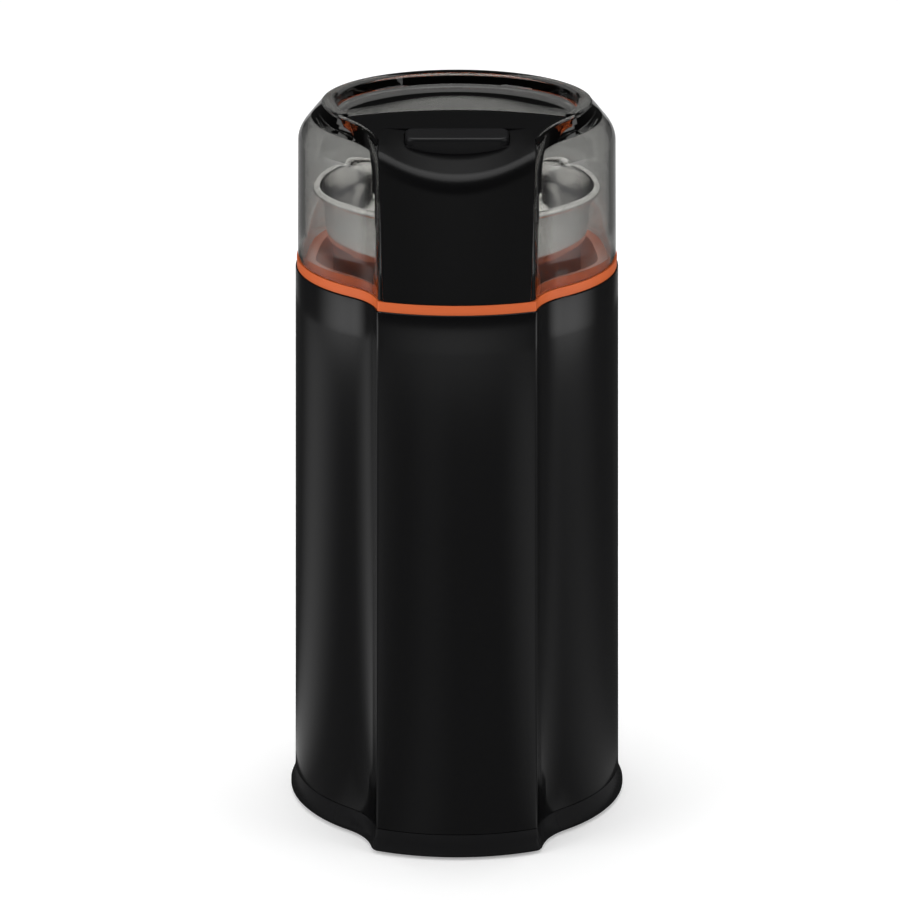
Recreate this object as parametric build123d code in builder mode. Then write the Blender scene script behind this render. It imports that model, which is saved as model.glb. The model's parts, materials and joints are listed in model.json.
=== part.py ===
"""Electric spice grinder, with every piece of it as its own solid, in millimetres.

The spindle is the Z axis, the anti-slip ring stands on Z = 0, and the front with its push button faces -Y.
"""

from build123d import *
import os
from math import atan2, cos, radians, sin, sqrt, tan

# ------------------------------------------------------------ clearances
seat_gap = 0.2  # between bodies that rest on each other and lift apart
slide_gap = 0.3  # beside a piece that slides
running_gap = 0.05  # radial, a shaft in its bush
fixed_gap = 0.1  # between pieces that are screwed or clipped together
press_gap = 0.02  # radial, what is pressed on a shaft or into a seat
air_gap = 0.5  # between rotor and stator
screw_gap = 0.3  # radial, a screw through a plain hole
screw_end_gap = 1.5  # left in a blind hole beyond the screw's tip
cut_over = 5.0  # how far a cut runs past what it cuts

# ------------------------------------------------------------ casing
lobe_radius = 54.0  # the round part of the casing, at its top
flute_angle = 40.0  # where the hollow flutes leave the round part, in degrees from the front
flute_radius = 25.0  # how hollow the flutes are
face_radius = 65.0  # bow of the front face
front_reach = 63.2  # from the spindle to the front face
corner_radius = 1.5  # rounding between front face and flute
sharp_corner = 0.3  # the least rounding of an inner corner
casing_spread = 1.04  # the casing is this much wider at its foot than at its top
casing_height = 179.8
casing_wall = 2.4
spigot_wall = 1.8  # the rims that centre the deck and the base in the casing
spigot_depth = 4.0

# ------------------------------------------------------------ base
foot_proud = 1.0  # the anti-slip ring stands out by this much
foot_inner = 39.0
foot_outer = 45.0
foot_height = 3.0
skirt_height = 7.5
skirt_flare = 1.6  # how far the skirt stands out beyond the casing
skirt_band = 1.6  # the upright edge of the skirt
waist_flare = 0.4  # how far it still stands out halfway up
skirt_break = 0.5
base_floor = 4.0
base_boss_radius = 4.0
base_boss_rise = 4.5  # above the joint between base and casing
post_bite = 0.6  # a casing post is wider than the base's boss, so it grows into the wall
post_height = 26.0
post_roof = 2.0
vent_count = 14
vent_width = 3.0
vent_inner = 14.0
vent_outer = 33.0
base_screw_length = 24.0

# ------------------------------------------------------------ cord inlet
gland_height = 26.0  # above the table
gland_bore = 4.0  # radius of the hole for a mains lead
gland_neck = 5.6
gland_flange = 7.6
gland_lip = 1.6  # thickness of the two flanges
gland_catch = 0.9  # the inner flange is wider than the neck by this much
gland_pad = 9.5  # radius of the flat pad around the hole
gland_pad_rise = 0.6  # the pad stands out from the casing
gland_backing = 2.0  # the pad is thicker than the wall by this much
inlet_half = 13.0  # half the width of the plate that carries the pad
inlet_rise = 30.0  # height of that plate
inlet_lip = 2.5  # how far its lip reaches behind the casing's wall
inlet_lip_wall = 1.2

# ------------------------------------------------------------ deck and bowl well
collar_height = 3.2
collar_inset = 0.45
rib_outer = 49.5  # the raised ring that centres the lid
rib_inner = 45.7
rib_rise = 2.9
well_mouth = 43.5
well_foot = 35.0
well_depth = 33.5
well_wall = 2.2
well_floor = 2.5
coupling_hole = 13.0
coupling_collar = 2.0
coupling_collar_height = 5.0
key_count = 3
key_start = 30.0
key_width = 5.4
key_height = 4.0
deck_boss_circle = 47.5
deck_boss_radius = 3.5
deck_boss_length = 9.8
deck_boss_count = 4
deck_boss_start = 45.0
ledge_bore = 43.6
ledge_thickness = 2.5

# ------------------------------------------------------------ fasteners
screw_radius = 1.5
head_radius = 2.9
head_height = 2.2
head_round = 0.7
head_slot = 0.75

# ------------------------------------------------------------ bowl
bowl_wall = 1.0
bowl_radius = 44.1  # outside, at the upright part of the wall
bowl_rim_radius = 47.75  # outside of the rolled rim
bowl_bead = 1.2  # radius of the rolled rim
bowl_height = 43.8  # from the underside of the floor to the top of the rim
bowl_flare_height = 5.6  # the flared band below the rim
bowl_upright = 3.0  # the upright wall below the band
bowl_curve = 26.0  # rounding of the wall into the cone below it
bowl_cone_angle = 40.0  # slope of the cone, in degrees from upright
bowl_floor_curve = 6.0
bowl_hub_foot = 12.0
bowl_hub_top = 8.0
bowl_hub_height = 8.0
bowl_hub_rise = 0.5  # the bearing boss stands out of the hub by this much
bowl_foot_height = 15.0
bowl_foot_outer = 24.0
bowl_foot_wall = 3.5
bowl_foot_web = 3.5

# ------------------------------------------------------------ blade and drive
blade_radius = 27.0
blade_width = 9.0
blade_thickness = 1.4
blade_twist = 14.0
blade_disc = 8.0
blade_shaft_radius = 2.5
bush_radius = 5.0
boss_wall = 1.4
washer_thickness = 0.6
washer_radius = 5.6
nut_radius = 5.5
nut_height = 7.0
nut_round = 3.3
nut_cap = 2.0
dog_count = 3
dog_angle = 50.0
dog_inner = 5.5
dog_height = 5.2
coupler_radius = 11.0
coupler_body = 5.0
drive_rise = 0.4  # play between the dogs and the other half of the coupling

# ------------------------------------------------------------ motor
pillar_circle = 31.5
pillar_radius = 4.0
pillar_length = 5.0
pillar_count = 3
mount_flange = 6.0
mount_neck = 4.1
mount_thickness = 3.4
mount_low_thickness = 3.0
bracket_radius = 38.0
bracket_thickness = 3.0
bracket_slots = 4
bracket_slot_inner = 15.0
bracket_slot_outer = 31.0
bracket_slot_width = 6.0
bracket_slot_start = 45.0
upper_leg = 12.0
lower_leg = 29.0
leg_thickness = 4.6
leg_width = 18.0
cradle_corner = 2.0
stack_height = 24.0
stack_width = 58.0
stack_depth = 50.0
stack_corner = 4.0
window_depth = 25.0
pole_gap = 6.0
rotor_radius = 16.0
rotor_slots = 12
slot_width = 2.4
slot_depth = 5.0
slot_liner = 0.3
coil_width = 6.9
coil_height = 8.0
coil_gap = 0.5
coil_apart = 4.0
coil_inset = 1.0
coil_corner = 2.0
winding_height = 7.0
winding_radius = 14.2
winding_gap = 1.2
winding_round = 2.5
shaft_radius = 3.5
shaft_clear = 1.0
shaft_end = 1.0
shaft_chamfer = 0.6
bearing_radius = 7.0
bearing_length = 8.0
bearing_housing = 10.0
bearing_lip = 1.0
bearing_rise = 3.0  # the upper bush stands above its bracket
lower_bearing_rise = 1.0
bolt_radius = 2.0
bolt_head_radius = 4.0
bolt_head_height = 2.0
bolt_nut_height = 3.0
commutator_radius = 10.0
commutator_length = 12.0
commutator_gap = 3.0  # to the windings
commutator_bars = 24
bar_slot = 0.5
brush_width = 6.0
brush_height = 7.0
brush_length = 10.0
brush_tube_wall = 0.6
brush_tube_length = 15.0
brush_tube_gap = 1.6
brush_arm_thickness = 9.0
brush_arm_wall = 3.3
brush_arm_roof = 1.6
brush_arm_back = 2.0
brush_spring_radius = 2.0
brush_spring_turns = 5
fan_radius = 26.0
fan_height = 9.0
fan_blades = 11
fan_blade_thickness = 1.2
fan_blade_sweep = 18.0
fan_disc = 1.5
fan_hub_wall = 3.0
fan_gap = 2.0

# ------------------------------------------------------------ switch
plunger_radius = 2.0
plunger_rise = 1.7  # above the deck
plunger_collar = 3.6
plunger_collar_height = 2.0
guide_radius = 4.4
guide_length = 8.5
rod_round = 0.5
switch_width = 27.8
switch_depth = 10.3
switch_height = 15.9
switch_corner = 1.0
switch_room = 3.0  # beside the switch
switch_front_room = 2.15  # between the switch and the middle of the front wall
switch_hole_width = 22.2
switch_hole_height = 10.3
switch_pin_radius = 1.2
switch_pin_depth = 2.0
pin_overtravel = 0.5
switch_shelf_gap = 3.0
shelf_thickness = 1.5
switch_spring_length = 7.0
switch_spring_turns = 4
switch_bracket_wall = 2.0
terminal_length = 8.0
terminal_width = 4.8
terminal_thickness = 0.8
terminal_pitch = 9.3
terminal_count = 3

# ------------------------------------------------------------ lid
lid_height = 52.3
lid_inset = 0.8
lid_draft = 0.6
lid_wall = 2.2
lid_corner = 3.0
lid_shoulder = 9.5  # height of the sloping shoulder
lid_crown = 44.8  # outer radius of the top rim
crown_flute_angle = 55.5
crown_flute = 60.0
flange_wall = 1.8
flange_slope = 1.9  # degrees by which the top falls towards the front
flange_slope_start = 21.0
recess_radius = 40.0
recess_depth = 4.0
panel_inset = 0.5
panel_wall = 2.2
panel_corner = 1.0
panel_drop = 1.0  # the black top lies this much below the rim
panel_rear_bow = 83.0
panel_rear_reach = 10.6
panel_seat = 2.5
panel_top_half = 25.3
panel_foot_half = 23.6
brow_depth = 14.0
scoop_radius = 38.0
scoop_angle = 15.0
scoop_lip_drop = 6.9  # the lip in front of the button, below the rim
brow_fall = 33.0  # angle at which the black top falls to the face on both sides of the scoop
brow_shelf = 1.2  # the level part in front of the pocket, before that fall
panel_screw_spread = 13.0
panel_screw_rise = 7.0  # above the foot of the housing
panel_boss_radius = 3.2
panel_pilot = 6.5

# ------------------------------------------------------------ button
button_half = 16.8
button_setback = 18.2  # from the front face back to the button
button_depth = 11.8
button_corner = 3.2
button_height = 9.0
button_wall = 2.2
button_round = 0.6
button_travel = 2.5
button_flange = 2.4
button_flange_height = 1.5
housing_half = 22.0
housing_wall = 1.6
housing_back_room = 5.2  # the housing reaches this far behind the button
rod_room = 0.9  # between the rod and the upright wall behind it
housing_depth = 24.5  # from the rim down to the underside of the shelf
arm_half = 5.0
arm_height = 3.5
rod_radius = 2.0
rod_gap = 0.3  # between the rod and the switch plunger
rod_socket_wall = 1.5
rod_socket_roof = 1.5
button_slope = 4.0
button_proud = 0.4  # the button's rear edge stands above the black top by this much
arm_hang = 15.0  # from the rim down to the underside of the button's arm
post_front_inset = 2.0  # from the button's front to the post under it
post_back_inset = 2.8
chest_half = 19.0
chest_floor = 3.5  # the foot of the upright wall, above the deck
button_spring_radius = 3.0
button_spring_spread = 11.0
button_spring_turns = 8
spring_peg = 2.0
spring_wire = 0.4  # radius

# ------------------------------------------------------------ mains parts
block_width = 24.0
block_depth = 12.0
block_height = 11.0
block_reach = 24.0
block_pitch = 12.0
block_hole = 2.2
block_hole_depth = 5.0
block_hole_rise = 4.5
capacitor_width = 18.0
capacitor_depth = 8.0
capacitor_height = 14.0
capacitor_reach = 46.0
capacitor_round = 1.0

# ------------------------------------------------------------ reaches from the spindle, worked out
plunger_reach = front_reach - casing_wall - switch_front_room - switch_depth / 2
button_front = front_reach - button_setback
button_back = button_front - button_depth
post_front = button_front - post_front_inset
post_back = button_back + post_back_inset
housing_back = button_back - housing_back_room
housing_chest = plunger_reach - rod_radius - rod_room - housing_wall

# ------------------------------------------------------------ levels, worked out
skirt_z = foot_proud
casing_z = skirt_z + skirt_height
collar_z = casing_z + casing_height
deck_z = collar_z + collar_height
lid_z = deck_z + seat_gap
lid_top_z = lid_z + lid_height
well_floor_z = deck_z - well_depth
well_under_z = well_floor_z - well_floor
ledge_z = collar_z - deck_boss_length
pillar_end_z = well_under_z - pillar_length
bracket_top_z = pillar_end_z - mount_thickness
bracket_z = bracket_top_z - bracket_thickness
stack_top_z = bracket_z - upper_leg
stack_z = stack_top_z - stack_height
cradle_top_z = stack_z - lower_leg
cradle_z = cradle_top_z - bracket_thickness
coupler_z = well_floor_z - coupler_body
bowl_z = well_floor_z + bowl_foot_height
post_z = casing_z + base_boss_rise
gland_z = gland_height


class Outline:
    """Plan of the grinder: a round lobe, a bowed front face and a hollow flute on each side of it."""

    def __init__(self, lobe, angle, flute, face, reach, corner):
        self.lobe = lobe
        self.angle = angle
        self.flute = flute
        self.face = face
        self.reach = reach
        self.corner = corner

    def scaled(self, ratio):
        """The same plan, larger or smaller about the spindle."""
        sizes = (self.flute * ratio, self.face * ratio, self.reach * ratio)
        return Outline(self.lobe * ratio, self.angle, *sizes, self.corner)

    def inset(self, wall):
        """The plan a wall's thickness further in."""
        corner = max(self.corner - wall, sharp_corner)
        sizes = (self.flute + wall, self.face - wall, self.reach - wall)
        return Outline(self.lobe - wall, self.angle, *sizes, corner)

    def plan(self):
        """The plan as a face on XY."""
        hollow = Vector(0, -self.lobe - self.flute).rotate(Axis.Z, self.angle)
        bow = Vector(0, self.face - self.reach)
        leave = Vector(0, -self.lobe).rotate(Axis.Z, self.angle)
        apart = (hollow - bow).length
        along = (self.face**2 - self.flute**2 + apart**2) / (2 * apart)
        aside = sqrt(self.face**2 - along**2)
        ahead = (hollow - bow).normalized()
        across = ahead.rotate(Axis.Z, -90)
        corner = bow + ahead * along + across * aside
        middle = hollow + ((leave - hollow) + (corner - hollow)).normalized() * self.flute
        with BuildSketch() as shape:
            with BuildLine():
                ThreePointArc((-leave.X, leave.Y), (0, self.lobe), leave)
                ThreePointArc(leave, middle, corner)
                ThreePointArc(corner, (0, -self.reach), (-corner.X, corner.Y))
                ThreePointArc((-corner.X, corner.Y), (-middle.X, middle.Y), (-leave.X, leave.Y))
            make_face()
            fillet(shape.vertices().sort_by(Axis.Y)[:2], self.corner)
        return shape.sketch


def tapered(low, low_z, high, high_z):
    """A solid that runs from one outline up to another."""
    with BuildPart() as block:
        with BuildSketch(Plane.XY.offset(low_z)):
            add(low.plan())
        with BuildSketch(Plane.XY.offset(high_z)):
            add(high.plan())
        loft(ruled=True)
    return block.part


def turned(*points):
    """A solid turned about the spindle from the half section through points (radius, height)."""
    with BuildPart() as block:
        with BuildSketch(Plane.XZ):
            with BuildLine():
                Polyline(*points, close=True)
            make_face()
        revolve(axis=Axis.Z)
    return block.part


def tube(outer, inner, low_z, high_z):
    """A plain tube about the spindle."""
    return turned((inner, low_z), (outer, low_z), (outer, high_z), (inner, high_z))


def screw(length):
    """A pan-head screw whose head seats on XY from below and whose shank rises from it."""
    with BuildPart() as fastener:
        with BuildSketch():
            Circle(head_radius)
        extrude(amount=-head_height)
        fillet(fastener.faces().sort_by(Axis.Z)[0].edges(), head_round)
        with BuildSketch(Plane.XY.offset(-head_height)):
            Rectangle(head_radius, head_slot)
            Rectangle(head_slot, head_radius)
        extrude(amount=head_height / 2, mode=Mode.SUBTRACT)
        with BuildSketch():
            Circle(screw_radius)
        extrude(amount=length)
    return fastener.part


def coil_spring(radius, wire, length, turns):
    """A compression spring that stands on XY."""
    with BuildPart() as spring:
        with BuildLine(Plane.XY.offset(wire)) as path:
            Helix(pitch=(length - 2 * wire) / turns, height=length - 2 * wire, radius=radius)
        with BuildSketch(Plane(path.line @ 0, z_dir=path.line % 0)):
            Circle(wire)
        sweep(is_frenet=True)
    return spring.part


def save(piece, label):
    """Name a finished piece and write it."""
    piece.part.label = label
    export_step(piece.part, f"parts/{label}.step")


os.makedirs("parts", exist_ok=True)

casing = Outline(lobe_radius, flute_angle, flute_radius, face_radius, front_reach, corner_radius)
casing_foot = casing.scaled(casing_spread)


def casing_at(height):
    """The casing's plan at one height."""
    return casing.scaled(1 + (casing_spread - 1) * (collar_z - height) / casing_height)


post_circle = casing_foot.lobe - casing_wall - fixed_gap - base_boss_radius
post_radius = base_boss_radius + post_bite
post_angles = (45, 135, 210, 330)
deck_boss_angles = [deck_boss_start + 360 / deck_boss_count * turn for turn in range(deck_boss_count)]
pillar_angles = [90 + 360 / pillar_count * turn for turn in range(pillar_count)]
key_angles = [key_start + 360 / key_count * turn for turn in range(key_count)]
pilot_radius = screw_radius + fixed_gap / 2


def around(radius, angles, height=0.0):
    """Places on a circle about the spindle."""
    return [Vector(radius, 0, height).rotate(Axis.Z, angle) for angle in angles]


def block(half, front, back, low_z, high_z):
    """A box between two distances in front of the spindle."""
    with BuildPart() as piece:
        with BuildSketch(Plane.XY.offset(low_z)):
            with Locations((0, -(front + back) / 2)):
                Rectangle(2 * half, front - back)
        extrude(amount=high_z - low_z)
    return piece.part


def casing_skin(outer, inner):
    """The casing's wall between two depths from its outside."""
    with BuildPart() as skin:
        add(tapered(casing_foot.inset(outer), casing_z, casing.inset(outer), collar_z))
        add(
            tapered(casing_foot.inset(inner), casing_z, casing.inset(inner), collar_z),
            mode=Mode.SUBTRACT,
        )
    return skin.part


# ------------------------------------------------------------ casing shell
inlet_top_z = casing_z + inlet_rise
inlet_back = -casing_foot.lobe - cut_over  # beyond the casing's back

with BuildPart() as body_shell:
    add(casing_skin(0, casing_wall))
    # the notch in the back for the inlet plate
    add(block(inlet_half, 0, inlet_back, casing_z - cut_over, inlet_top_z), mode=Mode.SUBTRACT)
    # the ledge that the deck is screwed down to
    with BuildSketch(Plane.XY.offset(ledge_z - ledge_thickness)):
        add(casing_at(ledge_z).inset(casing_wall / 2).plan())
        Circle(ledge_bore, mode=Mode.SUBTRACT)
        with Locations((0, -plunger_reach)):
            Rectangle(
                switch_width + 2 * switch_room,
                2 * (plunger_reach - ledge_bore + switch_room),
                mode=Mode.SUBTRACT,
            )
        with Locations(around(deck_boss_circle, deck_boss_angles)):
            Circle(screw_radius + screw_gap, mode=Mode.SUBTRACT)
    extrude(amount=ledge_thickness)
    # the posts that take the base screws
    with BuildSketch(Plane.XY.offset(post_z)):
        with Locations(around(post_circle, post_angles)):
            Circle(post_radius)
    extrude(amount=post_height)
    with BuildSketch(Plane.XY.offset(post_z)):
        with Locations(around(post_circle, post_angles)):
            Circle(pilot_radius)
    extrude(amount=post_height - post_roof, mode=Mode.SUBTRACT)
save(body_shell, "body_shell")

# ------------------------------------------------------------ inlet plate
gland_reach = casing_at(gland_z).lobe + gland_pad_rise
gland_depth = casing_wall + gland_backing
rear_wall = Plane((0, gland_reach, gland_z), z_dir=(0, 1, 0))
plate_half = inlet_half - fixed_gap
plate_top_z = inlet_top_z - fixed_gap
lip_low_z = casing_z + spigot_depth + fixed_gap
lip_face = casing_wall + fixed_gap
lip_back = lip_face + inlet_lip_wall

with BuildPart() as inlet_lips:
    add(casing_skin(lip_face, lip_back))
    add(
        block(inlet_half + inlet_lip, 0, inlet_back, lip_low_z, inlet_top_z + inlet_lip),
        mode=Mode.INTERSECT,
    )

with BuildPart() as inlet_core:
    add(casing_skin(0, lip_back))
    add(block(plate_half, 0, inlet_back, lip_low_z, plate_top_z), mode=Mode.INTERSECT)

with BuildPart() as inlet_plate:
    add(casing_skin(0, casing_wall))
    add(block(plate_half, 0, inlet_back, casing_z, plate_top_z), mode=Mode.INTERSECT)
    add(inlet_core.part)
    add(inlet_lips.part)
    with BuildSketch(rear_wall):
        Circle(gland_pad)
    extrude(amount=-gland_depth)
    with BuildSketch(rear_wall.offset(-gland_depth)):
        Circle(gland_neck + gland_catch + fixed_gap)
    extrude(amount=-gland_depth, mode=Mode.SUBTRACT)
    with BuildSketch(rear_wall):
        Circle(gland_neck + fixed_gap)
    extrude(amount=-2 * gland_depth, mode=Mode.SUBTRACT)
save(inlet_plate, "inlet_plate")

# ------------------------------------------------------------ base
skirt_foot = casing_foot.inset(-skirt_flare)
skirt_waist = casing_foot.inset(-waist_flare)
waist_z = skirt_z + skirt_band + (skirt_height - skirt_band) / 2
base_top_z = skirt_z + base_floor
base_seat_z = skirt_z + foot_proud + head_height

with BuildPart() as base_cover:
    with BuildSketch(Plane.XY.offset(skirt_z)):
        add(skirt_foot.plan())
    extrude(amount=skirt_band)
    chamfer(base_cover.faces().sort_by(Axis.Z)[0].edges(), skirt_break)
    add(tapered(skirt_foot, skirt_z + skirt_band, skirt_waist, waist_z))
    add(tapered(skirt_waist, waist_z, casing_foot, casing_z))
    with BuildSketch(Plane.XY.offset(casing_z)):
        add(casing_foot.inset(casing_wall + fixed_gap).plan())
    extrude(amount=spigot_depth)
    with BuildSketch(Plane.XY.offset(base_top_z)):
        add(casing_foot.inset(casing_wall + fixed_gap + spigot_wall).plan())
    extrude(amount=casing_height, mode=Mode.SUBTRACT)
    with BuildSketch(Plane.XY.offset(base_top_z)):
        with Locations(around(post_circle, post_angles)):
            Circle(base_boss_radius)
    extrude(amount=post_z - base_top_z)
    with BuildSketch(Plane.XY.offset(skirt_z)):
        with Locations(around(post_circle, post_angles)):
            Circle(screw_radius + screw_gap)
    extrude(amount=casing_height, mode=Mode.SUBTRACT)
    with BuildSketch(Plane.XY.offset(skirt_z)):
        with Locations(around(post_circle, post_angles)):
            Circle(head_radius + screw_gap)
    extrude(amount=base_seat_z - skirt_z, mode=Mode.SUBTRACT)
    with BuildSketch(Plane.XY.offset(skirt_z)):
        Circle(foot_outer + fixed_gap)
        Circle(foot_inner - fixed_gap, mode=Mode.SUBTRACT)
    extrude(amount=foot_height - foot_proud, mode=Mode.SUBTRACT)
    with BuildSketch(Plane.XY.offset(skirt_z)):
        with PolarLocations((vent_inner + vent_outer) / 2, vent_count):
            SlotOverall(vent_outer - vent_inner, vent_width)
    extrude(amount=base_floor, mode=Mode.SUBTRACT)
save(base_cover, "base_cover")

with BuildPart() as base_screws:
    with Locations(around(post_circle, post_angles, base_seat_z)):
        add(screw(base_screw_length))
save(base_screws, "base_screws")

with BuildPart() as anti_slip_ring:
    with BuildSketch():
        Circle(foot_outer)
        Circle(foot_inner, mode=Mode.SUBTRACT)
    extrude(amount=foot_height)
save(anti_slip_ring, "anti_slip_ring")

with BuildPart() as cord_gland:
    with BuildSketch(rear_wall):
        Circle(gland_flange)
    extrude(amount=gland_lip)
    fillet(cord_gland.faces().sort_by(Axis.Y)[-1].edges(), gland_lip / 2)
    with BuildSketch(rear_wall):
        Circle(gland_neck)
    extrude(amount=-gland_depth)
    with BuildSketch(rear_wall.offset(-gland_depth)):
        Circle(gland_neck + gland_catch)
    extrude(amount=-gland_lip)
    with BuildSketch(rear_wall.offset(gland_lip)):
        Circle(gland_bore)
    extrude(amount=-2 * gland_depth - 2 * gland_lip, mode=Mode.SUBTRACT)
save(cord_gland, "cord_gland")

# ------------------------------------------------------------ deck with the bowl's well
rib_z = deck_z + rib_rise
mouth_z = deck_z - rib_rise / 2
guide_end_z = collar_z - guide_length
shelf_z = guide_end_z - slide_gap - plunger_collar_height - switch_spring_length - shelf_thickness
switch_top_z = shelf_z - switch_shelf_gap
switch_face = plunger_reach - switch_depth / 2
switch_hole_places = [
    (-switch_hole_width / 2, switch_top_z - (switch_height + switch_hole_height) / 2),
    (switch_hole_width / 2, switch_top_z - (switch_height - switch_hole_height) / 2),
]
switch_plate = Plane((0, -switch_face, 0), x_dir=(1, 0, 0), z_dir=(0, -1, 0))

with BuildPart() as collar_deck:
    with BuildSketch(Plane.XY.offset(collar_z)):
        add(casing.inset(collar_inset).plan())
    extrude(amount=collar_height)
    with BuildSketch(Plane.XY.offset(deck_z)):
        Circle(rib_outer)
    extrude(amount=rib_rise)
    add(
        turned(
            (0, well_under_z),
            (well_foot + well_wall, well_under_z),
            (well_mouth + well_wall, collar_z),
            (0, collar_z),
        )
    )
    with BuildSketch(Plane.XY.offset(collar_z - spigot_depth)):
        add(casing.inset(casing_wall + fixed_gap).plan())
        add(casing.inset(casing_wall + fixed_gap + spigot_wall).plan(), mode=Mode.SUBTRACT)
    extrude(amount=spigot_depth)
    with BuildSketch(Plane.XY.offset(ledge_z)):
        with Locations(around(deck_boss_circle, deck_boss_angles)):
            Circle(deck_boss_radius)
    extrude(amount=deck_boss_length)
    with BuildSketch(Plane.XY.offset(pillar_end_z)):
        with Locations(around(pillar_circle, pillar_angles)):
            Circle(pillar_radius)
    extrude(amount=pillar_length)
    # the guide of the switch plunger, and the bracket that holds the switch
    with BuildSketch(Plane.XY.offset(guide_end_z)):
        with Locations((0, -plunger_reach)):
            Circle(guide_radius)
    extrude(amount=guide_length)
    with BuildSketch(switch_plate):
        with Locations((0, (collar_z + switch_top_z - switch_height) / 2)):
            Rectangle(switch_width, collar_z - switch_top_z + switch_height)
    extrude(amount=-switch_bracket_wall)
    with BuildSketch(Plane.XY.offset(shelf_z)):
        with Locations((0, -plunger_reach)):
            Rectangle(2 * guide_radius, switch_depth)
    extrude(amount=shelf_thickness)
    add(
        turned(
            (0, well_floor_z),
            (well_foot, well_floor_z),
            (well_mouth, mouth_z),
            (rib_inner, rib_z),
            (0, rib_z),
        ),
        mode=Mode.SUBTRACT,
    )
    with BuildSketch(Plane.XY.offset(well_floor_z)):
        Circle(coupling_hole + coupling_collar)
    extrude(amount=coupling_collar_height)
    with BuildSketch(Plane.XY.offset(well_floor_z)):
        for angle in key_angles:
            with Locations(around(bowl_foot_outer - bowl_foot_wall / 2, [angle])):
                Rectangle(bowl_foot_wall, key_width, rotation=angle)
    extrude(amount=key_height)
    with BuildSketch(Plane.XY.offset(well_under_z)):
        Circle(coupling_hole)
    extrude(amount=well_depth, mode=Mode.SUBTRACT)
    with BuildSketch(Plane.XY.offset(shelf_z)):
        with Locations((0, -plunger_reach)):
            Circle(plunger_radius + slide_gap)
    extrude(amount=deck_z - shelf_z, mode=Mode.SUBTRACT)
    with BuildSketch(Plane.XY.offset(ledge_z)):
        with Locations(around(deck_boss_circle, deck_boss_angles)):
            Circle(pilot_radius)
    extrude(amount=deck_boss_length, mode=Mode.SUBTRACT)
    with BuildSketch(Plane.XY.offset(pillar_end_z)):
        with Locations(around(pillar_circle, pillar_angles)):
            Circle(pilot_radius)
    extrude(amount=pillar_length, mode=Mode.SUBTRACT)
    with BuildSketch(switch_plate):
        with Locations(switch_hole_places):
            Circle(screw_radius + screw_gap)
    extrude(amount=-switch_bracket_wall, mode=Mode.SUBTRACT)
save(collar_deck, "collar_deck")

with BuildPart() as deck_screws:
    with Locations(around(deck_boss_circle, deck_boss_angles, ledge_z - ledge_thickness)):
        add(screw(ledge_thickness + deck_boss_length - screw_end_gap))
save(deck_screws, "deck_screws")

# ------------------------------------------------------------ switch
with BuildPart() as micro_switch:
    with BuildSketch(switch_plate):
        with Locations((0, switch_top_z - switch_height / 2)):
            RectangleRounded(switch_width, switch_height, switch_corner)
        with Locations(switch_hole_places):
            Circle(pilot_radius, mode=Mode.SUBTRACT)
    extrude(amount=switch_depth)
    with BuildSketch(Plane.XY.offset(switch_top_z)):
        with Locations((0, -plunger_reach)):
            Circle(switch_pin_radius + slide_gap)
    extrude(amount=-switch_height / 2, mode=Mode.SUBTRACT)
save(micro_switch, "micro_switch")

with BuildPart() as switch_terminals:
    with BuildSketch(Plane((0, -plunger_reach, switch_top_z - switch_height))):
        with GridLocations(terminal_pitch, 0, terminal_count, 1):
            Rectangle(terminal_width, terminal_thickness)
    extrude(amount=-terminal_length)
save(switch_terminals, "switch_terminals")

with BuildPart() as switch_screws:
    for x, z in switch_hole_places:
        with Locations(Location((x, switch_bracket_wall - switch_face, z), (90, 0, 0))):
            add(screw(switch_depth + switch_bracket_wall - screw_end_gap))
save(switch_screws, "switch_screws")

pin_top_z = switch_top_z + button_travel + pin_overtravel
collar_low_z = guide_end_z - slide_gap - plunger_collar_height

with BuildPart() as switch_pin:
    with BuildSketch(Plane.XY.offset(switch_top_z - switch_pin_depth)):
        with Locations((0, -plunger_reach)):
            Circle(switch_pin_radius)
    extrude(amount=pin_top_z - switch_top_z + switch_pin_depth)
save(switch_pin, "switch_pin")

with BuildPart() as switch_plunger:
    with BuildSketch(Plane.XY.offset(pin_top_z)):
        with Locations((0, -plunger_reach)):
            Circle(plunger_radius)
    extrude(amount=deck_z + plunger_rise - pin_top_z)
    fillet(switch_plunger.faces().sort_by(Axis.Z)[-1].edges(), rod_round)
    with BuildSketch(Plane.XY.offset(collar_low_z)):
        with Locations((0, -plunger_reach)):
            Circle(plunger_collar)
    extrude(amount=plunger_collar_height)
save(switch_plunger, "switch_plunger")

with BuildPart() as plunger_spring:
    with Locations((0, -plunger_reach, shelf_z + shelf_thickness)):
        add(
            coil_spring(
                plunger_radius + 2 * spring_wire,
                spring_wire,
                switch_spring_length,
                switch_spring_turns,
            )
        )
save(plunger_spring, "plunger_spring")

# ------------------------------------------------------------ motor: brackets and bearings
bolt_reach = (stack_width - leg_thickness) / 2
bearing_top_z = bracket_top_z + bearing_rise
lower_bearing_top_z = cradle_top_z + lower_bearing_rise
brush_z = stack_z - winding_height - commutator_gap - commutator_length / 2
brush_start = commutator_radius + slide_gap
tube_start = commutator_radius + brush_tube_gap
tube_width = brush_width + 2 * (fixed_gap + brush_tube_wall)
tube_height = brush_height + 2 * (fixed_gap + brush_tube_wall)
arm_width = tube_width + fixed_gap + 2 * brush_arm_wall
arm_reach = tube_start + brush_tube_length - brush_arm_thickness / 2 - brush_arm_back
arm_top_z = brush_z + (tube_height + fixed_gap) / 2 + brush_arm_roof


bracket_slot_middle = (bracket_slot_inner + bracket_slot_outer) / 2


def bearing_seat(low_z, high_z):
    """The space of a bush and the shaft's way out below it."""
    with BuildPart() as space:
        add(tube(bearing_radius + fixed_gap / 2, 0, low_z, high_z))
        add(tube(shaft_radius + shaft_clear, 0, low_z - 2 * bearing_lip, high_z))
    return space.part


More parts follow.
